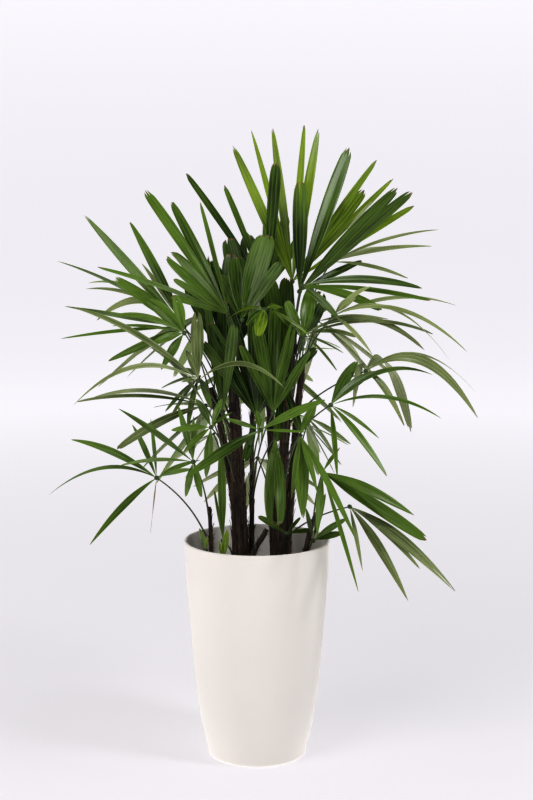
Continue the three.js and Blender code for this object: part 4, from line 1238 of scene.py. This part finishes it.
for number, frond in enumerate(FRONDS):
    name = frond["name"]
    corners = corners_of(name)
    draw = seeded(FINE_SEED + FINE_SEED_STEP * number)
    bend = min(
        STALK_SWINGS,
        key=lambda swing: nearest(bezier(stalk_ends(frond, swing), STALK_PROBES), corners).sum(),
    )
    found = []
    for leaflet in leaflets_of(frond, FRONDS_FIRST_SEED + number):
        gaps = {
            swing: nearest(leaflet_line(frond, leaflet, swing, [1.0])[0], corners)[0]
            for swing in LEAFLET_SWINGS
        }
        swing = min(gaps, key=gaps.get)
        if gaps[swing] < FARTHEST_TIP:
            found.append((leaflet, swing))
    # How far out the frond stands makes its leaflets more pointed and, as painted light, lighter.
    outer = np.interp(math.hypot(*frond["hub"][:2]), OUTER_FROM_TO, (0, 1))
    sheets = new_sheets(STRIPS_EACH * (len(found) + 1), outer, OWN_SUN.get(name, outer))
    add_stalk(sheets, stalk_ends(frond, bend))
    add_knot(sheets, frond)
    for leaflet, swing in found:
        add_leaflet(sheets, frond, leaflet, swing, draw)
    if name in DRY_LEAFLETS:
        add_leaflet(sheets, frond, DRY_LEAFLETS[name], 0, draw, slots=(DRY, DRY))
    tone = frond["tone"]
    mesh = sheets_mesh(f"{name}_leaflets", sheets)
    piece = add_piece(f"{name}_leaflets", mesh, *leaf_skins[tone], stalk_skin, dry_skin)
    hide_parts(name)

# ---------- Floor, backdrop and lights ----------
# A pale floor that runs up into a pale wall all round. A broad soft key light stands at the upper
# left, with a smaller light at the right and a faint one in front, in soft light from all round.

FLOOR_RADIUS = 7.0
FLOOR_FROM = 0.5
FLOOR_RINGS = 8
WALL_BEND = 3.0
BEND_STEPS = 16
WALL_TOP = 9.0
STUDIO_SEGMENTS = 96
STUDIO_PALE = ((0.36, 0.35, 0.36, 1), (0.35, 0.35, 0.36, 1))
GLOW_COLOUR = (0.97, 0.955, 1.0, 1)
GLOW_FROM_TO = (0.6, 6.0)
FLOOR_GLOW = 0.548
WALL_GLOW = 0.81
AIR_COLOUR = (1.0, 0.985, 0.97, 1)
AIR_STRENGTH = (0.07, 0.68)
FLOOR_BOUNCE = 1.53
VIEW_GAMMA = 0.70


def studio_material():
    """Pale and plain, and lit up of itself towards the wall so that it stays an even white."""
    material, tree, shader = new_material("studio", Roughness=0.9)
    distance = add_node(
        tree, "ShaderNodeVectorMath", {0: place_on_piece(tree)}, operation="LENGTH"
    ).outputs["Value"]
    share = spread(tree, distance, *GLOW_FROM_TO, 0.0, 1.0)
    glow = spread(tree, share, 0.0, 1.0, FLOOR_GLOW, WALL_GLOW)
    tree.links.new(mixed(tree, share, *STUDIO_PALE), shader.inputs["Base Color"])
    shader.inputs["Emission Color"].default_value = GLOW_COLOUR
    tree.links.new(glow, shader.inputs["Emission Strength"])
    return material


studio_profile = (
    [(0, 0)]
    + [(r, 0) for r in np.linspace(FLOOR_FROM, FLOOR_RADIUS, FLOOR_RINGS)]
    + rounded((FLOOR_RADIUS, WALL_BEND), WALL_BEND, -90, 0, BEND_STEPS)[1:]
    + [(FLOOR_RADIUS + WALL_BEND, WALL_TOP), (0, WALL_TOP)]
)
studio_mesh = turned("studio", studio_profile, STUDIO_SEGMENTS)
studio_mesh.materials.append(studio_material())
studio = bpy.data.objects.new("studio", studio_mesh)
bpy.context.collection.objects.link(studio)
studio.visible_shadow = False
studio.visible_diffuse = False
studio.visible_glossy = False
studio.visible_transmission = False
studio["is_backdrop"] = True


def soft_light(name, place, towards, size, power, colour):
    """A square soft box that faces a point."""
    data = bpy.data.lights.new(name, "AREA")
    data.size = size
    data.energy = power
    data.color = colour
    light = bpy.data.objects.new(name, data)
    light.location = place
    aim = Vector(towards) - Vector(place)
    light.rotation_euler = aim.to_track_quat("-Z", "Y").to_euler()
    bpy.context.collection.objects.link(light)


def studio_air():
    """Light from all round: off the white wall behind and the floor, and little from in front."""
    world = bpy.data.worlds.new("studio_air")
    world.use_nodes = True
    tree = world.node_tree
    towards = add_node(tree, "ShaderNodeTexCoord").outputs["Generated"]
    along = add_node(tree, "ShaderNodeSeparateXYZ", {"Vector": towards}).outputs
    behind = spread(tree, along["Y"], -0.6, 0.5, *AIR_STRENGTH)
    below = spread(tree, along["Z"], -0.1, -0.7, 0.0, FLOOR_BOUNCE)
    background = tree.nodes["Background"]
    background.inputs["Color"].default_value = AIR_COLOUR
    tree.links.new(plus(tree, behind, below), background.inputs["Strength"])
    return world


soft_light("key_light", (-2.1, -2.6, 3.2), (0, 0, 0.8), 2.2, 101, (1.0, 0.985, 0.96))
soft_light("fill_light", (2.2, -1.3, 3.0), (0, 0, 0.5), 0.7, 50, (0.98, 0.98, 1.0))
soft_light("front_light", (-0.5, -3.8, 1.5), (0, 0, 0.7), 1.6, 28, (1.0, 0.99, 0.98))
bpy.context.scene.world = studio_air()
bpy.context.scene.view_settings.view_transform = "Standard"
bpy.context.scene.view_settings.gamma = VIEW_GAMMA

[[list(corner) for corner in box] for box in (solid_bounds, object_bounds())]
